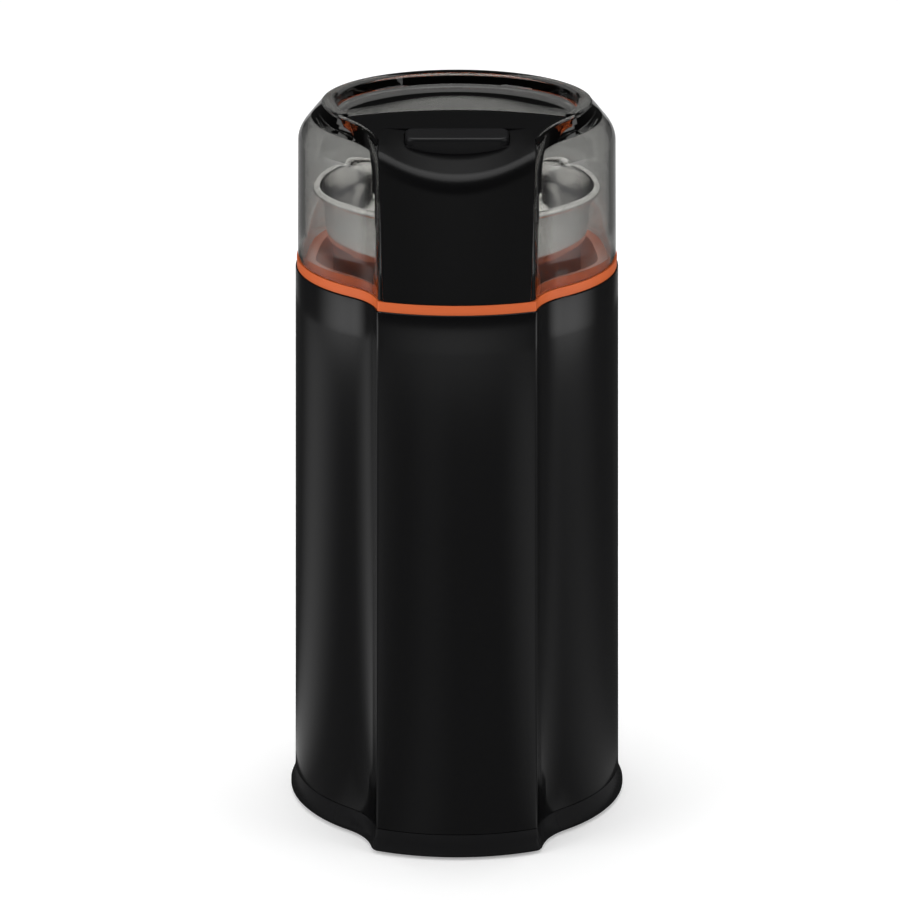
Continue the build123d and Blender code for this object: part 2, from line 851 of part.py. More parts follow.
with BuildPart() as upper_bracket:
    with BuildSketch(Plane.XY.offset(bracket_z)):
        Circle(bracket_radius)
        with PolarLocations(bracket_slot_middle, bracket_slots, bracket_slot_start):
            SlotOverall(bracket_slot_outer - bracket_slot_inner, bracket_slot_width, mode=Mode.SUBTRACT)
        with Locations(around(pillar_circle, pillar_angles)):
            Circle(mount_neck + fixed_gap, mode=Mode.SUBTRACT)
    extrude(amount=bracket_thickness)
    for side in (-1, 1):
        with BuildSketch(Plane.XY.offset(stack_top_z)):
            with Locations((side * bolt_reach, 0)):
                Rectangle(leg_thickness, leg_width)
        extrude(amount=upper_leg + bracket_thickness)
    add(tube(bearing_housing, 0, bearing_top_z - bearing_length - bearing_lip, bearing_top_z))
    add(bearing_seat(bearing_top_z - bearing_length, bearing_top_z), mode=Mode.SUBTRACT)
    with BuildSketch(Plane.XY.offset(stack_top_z)):
        with Locations((bolt_reach, 0), (-bolt_reach, 0)):
            Circle(bolt_radius + fixed_gap)
    extrude(amount=upper_leg + bracket_thickness, mode=Mode.SUBTRACT)
save(upper_bracket, "upper_bracket")

with BuildPart() as upper_bearing:
    add(
        tube(
            bearing_radius,
            shaft_radius + running_gap,
            bearing_top_z - bearing_length,
            bearing_top_z,
        )
    )
save(upper_bearing, "upper_bearing")

with BuildPart() as lower_bracket:
    with BuildSketch(Plane.XY.offset(cradle_z)):
        RectangleRounded(stack_width, leg_width, cradle_corner)
        Rectangle(arm_width, 2 * arm_reach + brush_arm_thickness)
    extrude(amount=bracket_thickness)
    for side in (-1, 1):
        with BuildSketch(Plane.XY.offset(cradle_top_z)):
            with Locations((side * bolt_reach, 0)):
                Rectangle(leg_thickness, leg_width)
        extrude(amount=lower_leg)
        with BuildSketch(Plane.XY.offset(cradle_top_z)):
            with Locations((0, side * arm_reach)):
                Rectangle(arm_width, brush_arm_thickness)
        extrude(amount=arm_top_z - cradle_top_z)
    add(
        tube(
            bearing_housing,
            0,
            lower_bearing_top_z - bearing_length - bearing_lip,
            lower_bearing_top_z,
        )
    )
    add(bearing_seat(lower_bearing_top_z - bearing_length, lower_bearing_top_z), mode=Mode.SUBTRACT)
    with BuildSketch(Plane.XZ.offset(-stack_depth)):
        with Locations((0, brush_z)):
            Rectangle(tube_width + fixed_gap, tube_height + fixed_gap)
    extrude(amount=2 * stack_depth, mode=Mode.SUBTRACT)
    with BuildSketch(Plane.XY.offset(cradle_z)):
        with Locations((bolt_reach, 0), (-bolt_reach, 0)):
            Circle(bolt_radius + fixed_gap)
    extrude(amount=bracket_thickness + lower_leg, mode=Mode.SUBTRACT)
save(lower_bracket, "lower_bracket")

with BuildPart() as lower_bearing:
    add(
        tube(
            bearing_radius,
            shaft_radius + running_gap,
            lower_bearing_top_z - bearing_length,
            lower_bearing_top_z,
        )
    )
save(lower_bearing, "lower_bearing")

with BuildPart() as motor_bolts:
    for side in (-1, 1):
        with BuildSketch(Plane.XY.offset(cradle_z)):
            with Locations((side * bolt_reach, 0)):
                Circle(bolt_radius)
        extrude(amount=bracket_top_z - cradle_z)
        with BuildSketch(Plane.XY.offset(bracket_top_z)):
            with Locations((side * bolt_reach, 0)):
                Circle(bolt_head_radius)
        extrude(amount=bolt_head_height)
        with BuildSketch(Plane.XY.offset(cradle_z)):
            with Locations((side * bolt_reach, 0)):
                RegularPolygon(bolt_head_radius, 6)
        extrude(amount=-bolt_nut_height)
save(motor_bolts, "motor_bolts")

mount_low_z = bracket_z - mount_low_thickness

with BuildPart() as rubber_mounts:
    with Locations(around(pillar_circle, pillar_angles)):
        add(tube(mount_flange, 0, bracket_top_z, pillar_end_z))
        add(tube(mount_neck, 0, bracket_z, bracket_top_z))
        add(tube(mount_flange, 0, mount_low_z, bracket_z))
    with Locations(around(pillar_circle, pillar_angles, bracket_z)):
        Cylinder(screw_radius + fixed_gap, 2 * pillar_end_z, mode=Mode.SUBTRACT)
save(rubber_mounts, "rubber_mounts")

with BuildPart() as mount_screws:
    with Locations(around(pillar_circle, pillar_angles, mount_low_z)):
        add(screw(well_under_z - mount_low_z - screw_end_gap))
save(mount_screws, "mount_screws")

# ------------------------------------------------------------ motor: stator
bore_radius = rotor_radius + air_gap
window_reach = bore_radius + coil_gap
window_width = coil_width + 2 * fixed_gap
coil_outer = window_reach + coil_width

with BuildPart() as stator_core:
    with BuildSketch(Plane.XY.offset(stack_z)):
        RectangleRounded(stack_width, stack_depth, stack_corner)
        Circle(bore_radius, mode=Mode.SUBTRACT)
        with Locations((window_reach + coil_width / 2, 0), (-window_reach - coil_width / 2, 0)):
            Rectangle(window_width, window_depth, mode=Mode.SUBTRACT)
        Rectangle(2 * window_reach, pole_gap, mode=Mode.SUBTRACT)
        with Locations((bolt_reach, 0), (-bolt_reach, 0)):
            Circle(bolt_radius + fixed_gap, mode=Mode.SUBTRACT)
    extrude(amount=stack_height)
save(stator_core, "stator_core")

coil_middle = coil_outer - coil_width / 2
coil_side = stack_depth / 2 - coil_inset - coil_apart / 2 - coil_width / 2
coil_run = window_depth / 2 - coil_gap - coil_apart / 2
coil_low_z = stack_z - coil_gap - coil_height

with BuildPart() as field_coils:
    for side in (-1, 1):
        for low_z in (coil_low_z, stack_top_z + coil_gap):
            with BuildSketch(Plane.XY.offset(low_z)):
                with Locations((0, side * (stack_depth / 2 - coil_inset - coil_width / 2))):
                    RectangleRounded(2 * coil_outer, coil_width, coil_corner)
                for end in (-1, 1):
                    with Locations((end * coil_middle, side * (coil_apart + coil_side) / 2)):
                        Rectangle(coil_width, coil_side)
            extrude(amount=coil_height)
        with BuildSketch(Plane.XY.offset(coil_low_z)):
            for end in (-1, 1):
                with Locations((end * coil_middle, side * (coil_apart + coil_run) / 2)):
                    Rectangle(coil_width, coil_run)
        extrude(amount=stack_height + 2 * coil_height + 2 * coil_gap)
save(field_coils, "field_coils")

# ------------------------------------------------------------ motor: brushes
brush_axes = [Plane((0, 0, brush_z), x_dir=(1, 0, 0), z_dir=(0, side, 0)) for side in (-1, 1)]

with BuildPart() as carbon_brushes:
    for axis in brush_axes:
        with BuildSketch(axis.offset(brush_start)):
            Rectangle(brush_width, brush_height)
        extrude(amount=brush_length)
save(carbon_brushes, "carbon_brushes")

with BuildPart() as brush_holders:
    for axis in brush_axes:
        with BuildSketch(axis.offset(tube_start)):
            Rectangle(tube_width, tube_height)
            Rectangle(brush_width + 2 * fixed_gap, brush_height + 2 * fixed_gap, mode=Mode.SUBTRACT)
        extrude(amount=brush_tube_length)
        with BuildSketch(axis.offset(tube_start + brush_tube_length)):
            Rectangle(tube_width, tube_height)
        extrude(amount=brush_tube_wall)
save(brush_holders, "brush_holders")

brush_spring_length = tube_start + brush_tube_length - brush_start - brush_length
brush_back = brush_start + brush_length
brush_spring = coil_spring(brush_spring_radius, spring_wire, brush_spring_length, brush_spring_turns)

with BuildPart() as brush_springs:
    with Locations(Location((0, brush_back, brush_z), (-90, 0, 0))):
        add(brush_spring)
    with Locations(Location((0, -brush_back, brush_z), (90, 0, 0))):
        add(brush_spring)
save(brush_springs, "brush_springs")

# ------------------------------------------------------------ motor: rotor
fan_top_z = lower_bearing_top_z - bearing_length - bearing_lip - fan_gap
fan_z = fan_top_z - fan_height - fan_disc
shaft_low_z = fan_z - shaft_end
fan_hub_radius = shaft_radius + fan_hub_wall
commutator_z = brush_z - commutator_length / 2

with BuildPart() as motor_shaft:
    add(tube(shaft_radius, 0, shaft_low_z, well_floor_z + shaft_end))
    chamfer(motor_shaft.faces().sort_by(Axis.Z)[-1].edges(), shaft_chamfer)
save(motor_shaft, "motor_shaft")

with BuildPart() as rotor_core:
    with BuildSketch(Plane.XY.offset(stack_z)):
        Circle(rotor_radius)
        with PolarLocations(rotor_radius, rotor_slots):
            Rectangle(2 * slot_depth, slot_width, mode=Mode.SUBTRACT)
        Circle(shaft_radius + press_gap, mode=Mode.SUBTRACT)
    extrude(amount=stack_height)
save(rotor_core, "rotor_core")

with BuildPart() as rotor_windings:
    with BuildSketch(Plane.XY.offset(stack_z)):
        with PolarLocations(rotor_radius - slot_depth / 2 - slot_liner, rotor_slots):
            Rectangle(slot_depth - 2 * slot_liner, slot_width - 2 * press_gap)
    extrude(amount=stack_height)
    for low_z in (stack_z - winding_height, stack_top_z):
        add(tube(winding_radius, shaft_radius + winding_gap, low_z, low_z + winding_height))
    fillet(rotor_windings.edges().group_by(Axis.Z)[-1].sort_by(SortBy.LENGTH)[-1], winding_round)
    fillet(rotor_windings.edges().group_by(Axis.Z)[0].sort_by(SortBy.LENGTH)[-1], winding_round)
save(rotor_windings, "rotor_windings")

with BuildPart() as commutator:
    with BuildSketch(Plane.XY.offset(commutator_z)):
        Circle(commutator_radius)
        Circle(shaft_radius + press_gap, mode=Mode.SUBTRACT)
    extrude(amount=commutator_length)
    with BuildSketch(Plane.XY.offset(commutator_z)):
        with PolarLocations(commutator_radius, commutator_bars):
            Rectangle(2 * bar_slot, bar_slot)
    extrude(amount=commutator_length, mode=Mode.SUBTRACT)
save(commutator, "commutator")

with BuildPart() as cooling_fan:
    add(tube(fan_hub_radius, shaft_radius + press_gap, fan_z, fan_top_z))
    add(tube(fan_radius, shaft_radius + press_gap, fan_top_z - fan_disc, fan_top_z))
    with BuildSketch(Plane.XY.offset(fan_z)):
        with PolarLocations((fan_radius + fan_hub_radius) / 2, fan_blades):
            Rectangle(fan_radius - fan_hub_radius, fan_blade_thickness, rotation=fan_blade_sweep)
    extrude(amount=fan_height)
save(cooling_fan, "cooling_fan")


def dogs(low_z, start):
    """The driving lugs of one half of the coupling."""
    with BuildPart() as lugs:
        with BuildSketch(Plane.XY.offset(low_z)):
            for turn in range(dog_count):
                middle = start + 360 / dog_count * turn
                with BuildLine():
                    CenterArc((0, 0), coupler_radius, middle - dog_angle / 2, dog_angle)
                    CenterArc((0, 0), dog_inner, middle - dog_angle / 2, dog_angle)
                    for edge in (middle - dog_angle / 2, middle + dog_angle / 2):
                        PolarLine(
                            Vector(dog_inner, 0).rotate(Axis.Z, edge),
                            coupler_radius - dog_inner,
                            edge,
                        )
                make_face()
        extrude(amount=dog_height)
    return lugs.part


driven_z = well_floor_z + dog_height + drive_rise

with BuildPart() as drive_coupler:
    add(tube(coupler_radius, shaft_radius + press_gap, coupler_z, well_floor_z))
    add(dogs(well_floor_z, 0))
save(drive_coupler, "drive_coupler")

# ------------------------------------------------------------ grinding bowl
bowl_top_z = bowl_z + bowl_height
bead_z = bowl_top_z - bowl_bead
flare_top_z = bead_z - bowl_bead / 2
flare_z = flare_top_z - bowl_flare_height
curve_z = flare_z - bowl_upright
curve_reach = bowl_radius - bowl_curve
floor_curve_z = bowl_z + bowl_floor_curve
cone_sin = sin(radians(bowl_cone_angle))
cone_cos = cos(radians(bowl_cone_angle))
cone_shift = bowl_curve - bowl_floor_curve + (floor_curve_z - curve_z) * cone_sin
floor_reach = curve_reach + cone_shift / cone_cos


def bowl_form(wall):
    """The bowl as one full solid, a wall's thickness further in."""
    curve = bowl_curve - wall
    low = bowl_floor_curve - wall
    half_turn = radians(bowl_cone_angle / 2)
    full_turn = radians((bowl_cone_angle + 90) / 2)
    curve_end = (curve_reach + curve * cone_cos, curve_z - curve * cone_sin)
    low_start = (floor_reach + low * cone_cos, floor_curve_z - low * cone_sin)
    flare_top = bowl_rim_radius - bowl_bead - wall
    with BuildPart() as form:
        with BuildSketch(Plane.XZ):
            with BuildLine():
                Line((0, floor_curve_z - low), (floor_reach, floor_curve_z - low))
                ThreePointArc(
                    (floor_reach, floor_curve_z - low),
                    (floor_reach + low * cos(full_turn), floor_curve_z - low * sin(full_turn)),
                    low_start,
                )
                Line(low_start, curve_end)
                ThreePointArc(
                    curve_end,
                    (curve_reach + curve * cos(half_turn), curve_z - curve * sin(half_turn)),
                    (curve_reach + curve, curve_z),
                )
                Polyline(
                    (curve_reach + curve, curve_z),
                    (curve_reach + curve, flare_z),
                    (flare_top, flare_top_z),
                    (flare_top, bowl_top_z),
                    (0, bowl_top_z),
                    (0, floor_curve_z - low),
                )
            make_face()
        revolve(axis=Axis.Z)
    return form.part


boss_radius = bush_radius + boss_wall
web_z = bowl_z - bowl_foot_web
hub_top_z = bowl_z + bowl_hub_height
boss_top_z = hub_top_z + bowl_wall + bowl_hub_rise
boss_low_z = driven_z + coupler_body + washer_thickness

with BuildPart() as grinding_bowl:
    add(bowl_form(0))
    with BuildSketch(Plane.XZ):
        with Locations((bowl_rim_radius - bowl_bead, bead_z)):
            Circle(bowl_bead)
    revolve(axis=Axis.Z)
    add(bowl_form(bowl_wall), mode=Mode.SUBTRACT)
    add(
        turned(
            (0, bowl_z),
            (bowl_hub_foot + bowl_wall, bowl_z),
            (bowl_hub_top + bowl_wall, hub_top_z + bowl_wall),
            (0, hub_top_z + bowl_wall),
        )
    )
    add(
        turned((0, bowl_z), (bowl_hub_foot, bowl_z), (bowl_hub_top, hub_top_z), (0, hub_top_z)),
        mode=Mode.SUBTRACT,
    )
    with BuildSketch(Plane.XY.offset(bowl_z)):
        Circle(boss_radius + fixed_gap)
    extrude(amount=bowl_height, mode=Mode.SUBTRACT)
save(grinding_bowl, "grinding_bowl")

foot_low_z = well_floor_z + seat_gap

with BuildPart() as bowl_foot:
    add(tube(bowl_foot_outer, bowl_foot_outer - bowl_foot_wall, foot_low_z, bowl_z))
    add(tube(bowl_foot_outer, 0, web_z, bowl_z))
    add(tube(boss_radius, 0, boss_low_z, boss_top_z))
    add(tube(bush_radius + press_gap, 0, boss_low_z, boss_top_z), mode=Mode.SUBTRACT)
    with BuildSketch(Plane.XY.offset(foot_low_z)):
        for angle in key_angles:
            with Locations(around(bowl_foot_outer - bowl_foot_wall / 2, [angle])):
                Rectangle(2 * bowl_foot_wall, key_width + 2 * slide_gap, rotation=angle)
    extrude(amount=key_height + slide_gap, mode=Mode.SUBTRACT)
save(bowl_foot, "bowl_foot")

with BuildPart() as blade_bush:
    add(tube(bush_radius, blade_shaft_radius + running_gap, boss_low_z, boss_top_z))
save(blade_bush, "blade_bush")

# ------------------------------------------------------------ blade
blade_z = boss_top_z + washer_thickness
nut_z = blade_z + blade_thickness

with BuildPart() as blade_shaft:
    add(tube(blade_shaft_radius, 0, driven_z, nut_z + nut_height - nut_cap))
save(blade_shaft, "blade_shaft")

with BuildPart() as driven_coupler:
    add(tube(coupler_radius, blade_shaft_radius + press_gap, driven_z, driven_z + coupler_body))
    add(dogs(driven_z - dog_height, 180 / dog_count))
save(driven_coupler, "driven_coupler")

with BuildPart() as thrust_washers:
    for low_z in (boss_low_z - washer_thickness, boss_top_z):
        add(
            tube(
                washer_radius,
                blade_shaft_radius + running_gap,
                low_z + fixed_gap / 2,
                low_z + washer_thickness,
            )
        )
save(thrust_washers, "thrust_washers")

with BuildPart() as blade:
    with BuildSketch(Plane.XY.offset(blade_z)):
        Circle(blade_disc)
    extrude(amount=blade_thickness)
    for side in (0, 180):
        wing = Plane((0, 0, blade_z)).rotated((0, 0, side)).rotated((blade_twist, 0, 0))
        with BuildSketch(wing):
            with Locations(((blade_radius + blade_disc / 2) / 2, 0)):
                SlotOverall(blade_radius - blade_disc / 2, blade_width)
        extrude(amount=blade_thickness)
    with BuildSketch(Plane.XY.offset(blade_z)):
        Circle(blade_disc)
    extrude(amount=2 * blade_thickness, dir=(0, 0, 1), mode=Mode.SUBTRACT)
    with BuildSketch(Plane.XY.offset(blade_z)):
        Circle(blade_disc)
    extrude(amount=-2 * blade_thickness, mode=Mode.SUBTRACT)
    with BuildSketch(Plane.XY.offset(blade_z)):
        Circle(blade_disc)
        Circle(blade_shaft_radius + press_gap, mode=Mode.SUBTRACT)
    extrude(amount=blade_thickness)
save(blade, "blade")

with BuildPart() as blade_nut:
    with BuildSketch(Plane.XY.offset(nut_z)):
        Circle(nut_radius)
    extrude(amount=nut_height)
    fillet(blade_nut.faces().sort_by(Axis.Z)[-1].edges(), nut_round)
    with BuildSketch(Plane.XY.offset(nut_z)):
        Circle(blade_shaft_radius + press_gap)
    extrude(amount=nut_height - nut_cap + fixed_gap, mode=Mode.SUBTRACT)
save(blade_nut, "blade_nut")

# ------------------------------------------------------------ lid shell
shoulder_z = lid_top_z - lid_shoulder
recess_z = lid_top_z - recess_depth
lid_foot = casing.inset(lid_inset)
lid_foot.corner = lid_corner
lid_neck = casing.inset(lid_inset + lid_draft)
lid_neck.corner = lid_corner
crown = Outline(
    lid_crown, crown_flute_angle, crown_flute, lid_neck.face, lid_neck.reach, lid_corner
)
panel_plan = Outline(
    lid_crown - flange_wall - fixed_gap,
    crown_flute_angle,
    crown_flute + flange_wall + fixed_gap,
    face_radius - panel_inset,
    front_reach - panel_inset,
    panel_corner,
)
fall = Plane((0, -flange_slope_start, lid_top_z)).rotated((flange_slope, 0, 0))
rear_bow_centre = (0, -panel_rear_reach - panel_rear_bow)


def sloped(drop):
    """The plane in which the top falls towards the front."""
    return Plane(fall.origin - Vector(0, 0, drop), x_dir=fall.x_dir, z_dir=fall.z_dir)


def front_window(gap):
    """The space between the lid's two flanges, which the black panel fills."""
    low = panel_foot_half + gap
    high = panel_top_half + gap
    with BuildPart() as window:
        with BuildSketch(Plane.XZ.offset(button_front)):
            Polygon(
                (-low, lid_z - cut_over),
                (low, lid_z - cut_over),
                (high, lid_top_z + cut_over),
                (-high, lid_top_z + cut_over),
                align=None,
            )
        extrude(amount=front_reach)
    return window.part


def lid_form(wall):
    """The lid as one full solid, a wall's thickness further in."""
    shift = wall * tan(atan2(lid_neck.lobe - crown.lobe, lid_shoulder) / 2)
    foot = lid_foot.inset(wall)
    neck = lid_neck.inset(wall)
    with BuildPart() as form:
        add(tapered(foot, lid_z, neck, shoulder_z - shift))
        add(tapered(neck, shoulder_z - shift, crown.inset(wall), lid_top_z - shift))
    return form.part


with BuildPart() as lid_cavity:
    add(lid_form(lid_wall))
    split(bisect_by=Plane.XY.offset(recess_z - lid_wall), keep=Keep.BOTTOM)

with BuildPart() as lid_shell:
    add(lid_form(0))
    split(bisect_by=fall, keep=Keep.BOTTOM)
    add(lid_cavity.part, mode=Mode.SUBTRACT)
    with BuildSketch(Plane.XY.offset(recess_z)):
        Circle(recess_radius)
    extrude(amount=recess_depth, mode=Mode.SUBTRACT)
    for low_z, seat in ((recess_z, 0), (shoulder_z - lid_shoulder, panel_seat)):
        with BuildSketch(Plane.XY.offset(low_z)):
            add(panel_plan.inset(-fixed_gap).plan())
            with Locations(rear_bow_centre):
                Circle(panel_rear_bow - seat, mode=Mode.INTERSECT)
        extrude(amount=lid_height, mode=Mode.SUBTRACT)
    add(front_window(fixed_gap), mode=Mode.SUBTRACT)
save(lid_shell, "lid_shell")

# ------------------------------------------------------------ black front of the lid
brow_z = lid_top_z - brow_depth - panel_drop
pocket_front = button_front + slide_gap
lip_z = lid_top_z - scoop_lip_drop
scoop_way = Vector(0, -cos(radians(scoop_angle)), -sin(radians(scoop_angle)))
scoop_up = Vector(0, -sin(radians(scoop_angle)), cos(radians(scoop_angle)))
scoop_start = Vector(0, -pocket_front, lip_z) + scoop_up * scoop_radius - scoop_way * scoop_radius
brow_edge = Vector(0, -pocket_front - brow_shelf, lid_top_z - panel_drop)
brow_up = Vector(0, -sin(radians(brow_fall)), cos(radians(brow_fall)))
shelf_low_z = lid_top_z - housing_depth
shelf_top_z = shelf_low_z + housing_wall
housing_top_z = recess_z - fixed_gap
step_z = brow_z - fixed_gap
chest_z = deck_z + chest_floor
chest_back = housing_chest + housing_wall
panel_inner = panel_plan.inset(panel_wall + fixed_gap)
cap_roof_z = recess_z
cap_middle = (button_front + button_back) / 2
spring_places = [(button_spring_spread, -cap_middle), (-button_spring_spread, -cap_middle)]
low_screw_z = chest_z + panel_screw_rise
low_screw_places = [(-panel_screw_spread, low_screw_z), (panel_screw_spread, low_screw_z)]
top_screw_places = [(-panel_screw_spread, -plunger_reach), (panel_screw_spread, -plunger_reach)]


def button_plan(gap):
    """The button's plan, or its pocket's."""
    middle = (button_front + button_back) / 2
    with BuildSketch() as shape:
        with Locations((0, -middle)):
            RectangleRounded(
                2 * (button_half + gap), button_front - button_back + 2 * gap, button_corner + gap
            )
    return shape.sketch


with BuildPart() as lid_front_panel:
    with BuildSketch(Plane.XY.offset(brow_z)):
        add(panel_plan.plan())
    extrude(amount=brow_depth + panel_drop)
    with BuildSketch(Plane.XY.offset(lid_z)):
        add(panel_plan.plan())
        add(panel_plan.inset(panel_wall).plan(), mode=Mode.SUBTRACT)
    extrude(amount=lid_height)
    split(bisect_by=Plane.XZ.offset(pocket_front), keep=Keep.TOP)
    add(front_window(0), mode=Mode.INTERSECT)
    with BuildSketch(Plane.XY.offset(recess_z)):
        add(panel_plan.plan())
        with Locations(rear_bow_centre):
            Circle(panel_rear_bow - fixed_gap, mode=Mode.INTERSECT)
    extrude(amount=recess_depth)
    with BuildSketch(Plane(scoop_start, z_dir=scoop_way)):
        Circle(scoop_radius)
    extrude(amount=3 * scoop_radius, mode=Mode.SUBTRACT)
    split(bisect_by=Plane(brow_edge, z_dir=brow_up), keep=Keep.BOTTOM)
    with BuildSketch(Plane.XY.offset(brow_z)):
        add(button_plan(slide_gap))
    extrude(amount=lid_height, mode=Mode.SUBTRACT)
    split(bisect_by=sloped(panel_drop), keep=Keep.BOTTOM)
    # the bosses and pilot holes for the screws that hold the button's housing
    with BuildSketch(Plane.XZ.offset(chest_back + fixed_gap)):
        with Locations(low_screw_places):
            Circle(panel_boss_radius)
    extrude(amount=front_reach - chest_back - panel_inset - fixed_gap - panel_wall)
    with BuildSketch(Plane.XZ.offset(chest_back + fixed_gap)):
        with Locations(low_screw_places):
            Circle(pilot_radius)
    extrude(amount=panel_pilot, mode=Mode.SUBTRACT)
    with BuildSketch(Plane.XY.offset(brow_z)):
        with Locations(top_screw_places):
            Circle(pilot_radius)
    extrude(amount=panel_pilot, mode=Mode.SUBTRACT)
save(lid_front_panel, "lid_front_panel")

# ------------------------------------------------------------ housing of the button and its rod
with BuildPart() as button_housing:
    add(block(housing_half, pocket_front - fixed_gap, housing_back, shelf_low_z, housing_top_z))
    add(block(housing_half, front_reach, housing_back, shelf_low_z, step_z))
    add(
        block(
            housing_half - housing_wall,
            front_reach,
            housing_back + housing_wall,
            shelf_top_z,
            lid_top_z,
        ),
        mode=Mode.SUBTRACT,
    )
    add(block(chest_half, front_reach, housing_chest, chest_z, shelf_top_z))
    add(
        block(
            chest_half - housing_wall, front_reach, chest_back, chest_z + housing_wall, shelf_low_z
        ),
        mode=Mode.SUBTRACT,
    )
    with BuildSketch(Plane.XY.offset(shelf_low_z)):
        with Locations(top_screw_places):
            Circle(panel_boss_radius)
    extrude(amount=step_z - shelf_low_z)
    with BuildSketch(Plane.XY.offset(chest_z)):
        add(panel_inner.plan())
    extrude(amount=lid_height, mode=Mode.INTERSECT)
    with BuildSketch(Plane.XY.offset(shelf_top_z)):
        with Locations(spring_places):
            Circle(button_spring_radius - 2 * spring_wire)
    extrude(amount=spring_peg)
    with BuildSketch(Plane.XY.offset(shelf_low_z)):
        with Locations(top_screw_places):
            Circle(screw_radius + screw_gap)
    extrude(amount=lid_height, mode=Mode.SUBTRACT)
    with BuildSketch(Plane.XY.offset(chest_z)):
        with Locations((0, -plunger_reach)):
            Circle(rod_radius + slide_gap)
    extrude(amount=lid_height, mode=Mode.SUBTRACT)
    with BuildSketch(Plane.XY.offset(chest_z)):
        with Locations(top_screw_places):
            Circle(head_radius + screw_gap)
    extrude(amount=housing_wall, mode=Mode.SUBTRACT)
    with BuildSketch(Plane.XZ.offset(housing_chest)):
        with Locations(low_screw_places):
            Circle(screw_radius + screw_gap)
    extrude(amount=housing_wall, mode=Mode.SUBTRACT)
save(button_housing, "button_housing")

with BuildPart() as panel_screws:
    with Locations([Vector(x, y, shelf_low_z) for x, y in top_screw_places]):
        add(screw(brow_z - shelf_low_z + panel_pilot - screw_end_gap))
    for x, z in low_screw_places:
        with Locations(Location((x, -housing_chest, z), (90, 0, 0))):
            add(screw(housing_wall + fixed_gap + panel_pilot - screw_end_gap))
save(panel_screws, "panel_screws")

# ------------------------------------------------------------ push button
arm_z = lid_top_z - arm_hang - arm_height
arm_front = plunger_reach + rod_radius + rod_socket_wall
cap_z = lid_top_z - panel_drop - button_height
panel_fall = (button_back - flange_slope_start) * tan(radians(flange_slope))
cap_top_z = lid_top_z - panel_drop - panel_fall + button_proud
flange_top_z = recess_z - slide_gap
rod_low_z = deck_z + plunger_rise + rod_gap
rod_top_z = arm_z + arm_height - rod_socket_roof

with BuildPart() as push_button:
    with BuildSketch(Plane.XY.offset(cap_z)):
        add(button_plan(0))
    extrude(amount=button_height + cut_over)
    split(
        bisect_by=Plane((0, -button_back, cap_top_z)).rotated((button_slope, 0, 0)),
        keep=Keep.BOTTOM,
    )
    fillet(push_button.faces().sort_by(Axis.Z)[-1].edges(), button_round)
    add(
        block(
            button_half + button_flange,
            button_front,
            button_back - button_flange,
            flange_top_z - button_flange_height,
            flange_top_z,
        )
    )
    with BuildSketch(Plane.XY.offset(cap_z)):
        add(button_plan(-button_wall))
    extrude(amount=cap_roof_z - cap_z, mode=Mode.SUBTRACT)
    add(block(arm_half, post_front, post_back, arm_z, cap_roof_z))
    add(block(arm_half, arm_front, post_back, arm_z, arm_z + arm_height))
    with BuildSketch(Plane.XY.offset(arm_z)):
        with Locations((0, -plunger_reach)):
            Circle(rod_radius + press_gap)
    extrude(amount=rod_top_z - arm_z + press_gap, mode=Mode.SUBTRACT)
save(push_button, "push_button")

with BuildPart() as actuator_rod:
    with BuildSketch(Plane.XY.offset(rod_low_z)):
        with Locations((0, -plunger_reach)):
            Circle(rod_radius)
    extrude(amount=rod_top_z - rod_low_z)
    fillet(actuator_rod.faces().sort_by(Axis.Z)[0].edges(), rod_round)
save(actuator_rod, "actuator_rod")

with BuildPart() as button_springs:
    with Locations([Vector(x, y, shelf_top_z) for x, y in spring_places]):
        add(
            coil_spring(
                button_spring_radius,
                spring_wire,
                cap_roof_z - shelf_top_z,
                button_spring_turns,
            )
        )
save(button_springs, "button_springs")

# ------------------------------------------------------------ mains parts on the base
block_top_z = base_top_z + block_height
block_back = Plane.XZ.offset(-block_reach - block_depth)

with BuildPart() as terminal_block:
    add(block(block_width / 2, -block_reach, -block_reach - block_depth, base_top_z, block_top_z))
    with BuildSketch(Plane((0, block_reach + block_depth / 2, block_top_z))):
        with GridLocations(block_pitch, 0, 2, 1):
            Circle(block_hole)
    extrude(amount=-block_hole_depth, mode=Mode.SUBTRACT)
    with BuildSketch(block_back):
        with Locations((0, base_top_z + block_hole_rise)):
            with GridLocations(block_pitch, 0, 2, 1):
                Circle(block_hole)
    extrude(amount=block_depth, mode=Mode.SUBTRACT)
save(terminal_block, "terminal_block")

with BuildPart() as suppressor_capacitor:
    add(
        block(
            capacitor_width / 2,
            capacitor_reach,
            capacitor_reach - capacitor_depth,
            base_top_z,
            base_top_z + capacitor_height,
        )
    )
    fillet(suppressor_capacitor.edges().filter_by(Axis.Z), capacitor_round)
    fillet(suppressor_capacitor.faces().sort_by(Axis.Z)[-1].edges(), capacitor_round)
save(suppressor_capacitor, "suppressor_capacitor")
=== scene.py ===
# %% [markdown]
# # An electric spice grinder, dressed in Blender
#
# The grinder is a tall glossy black casing on a flared base, an orange deck with a steel bowl in it, and a
# clear smoke-grey lid whose front is black and holds a push button. The engineering model gives every piece
# its place. This lesson loads that model as a fixed frame, makes smooth meshes for what the eye meets first,
# and gives every piece the finish of what it is made from. One unit is one metre, so sizes in millimetres
# are multiplied by MM.

# %% Load the frame
import json
import math

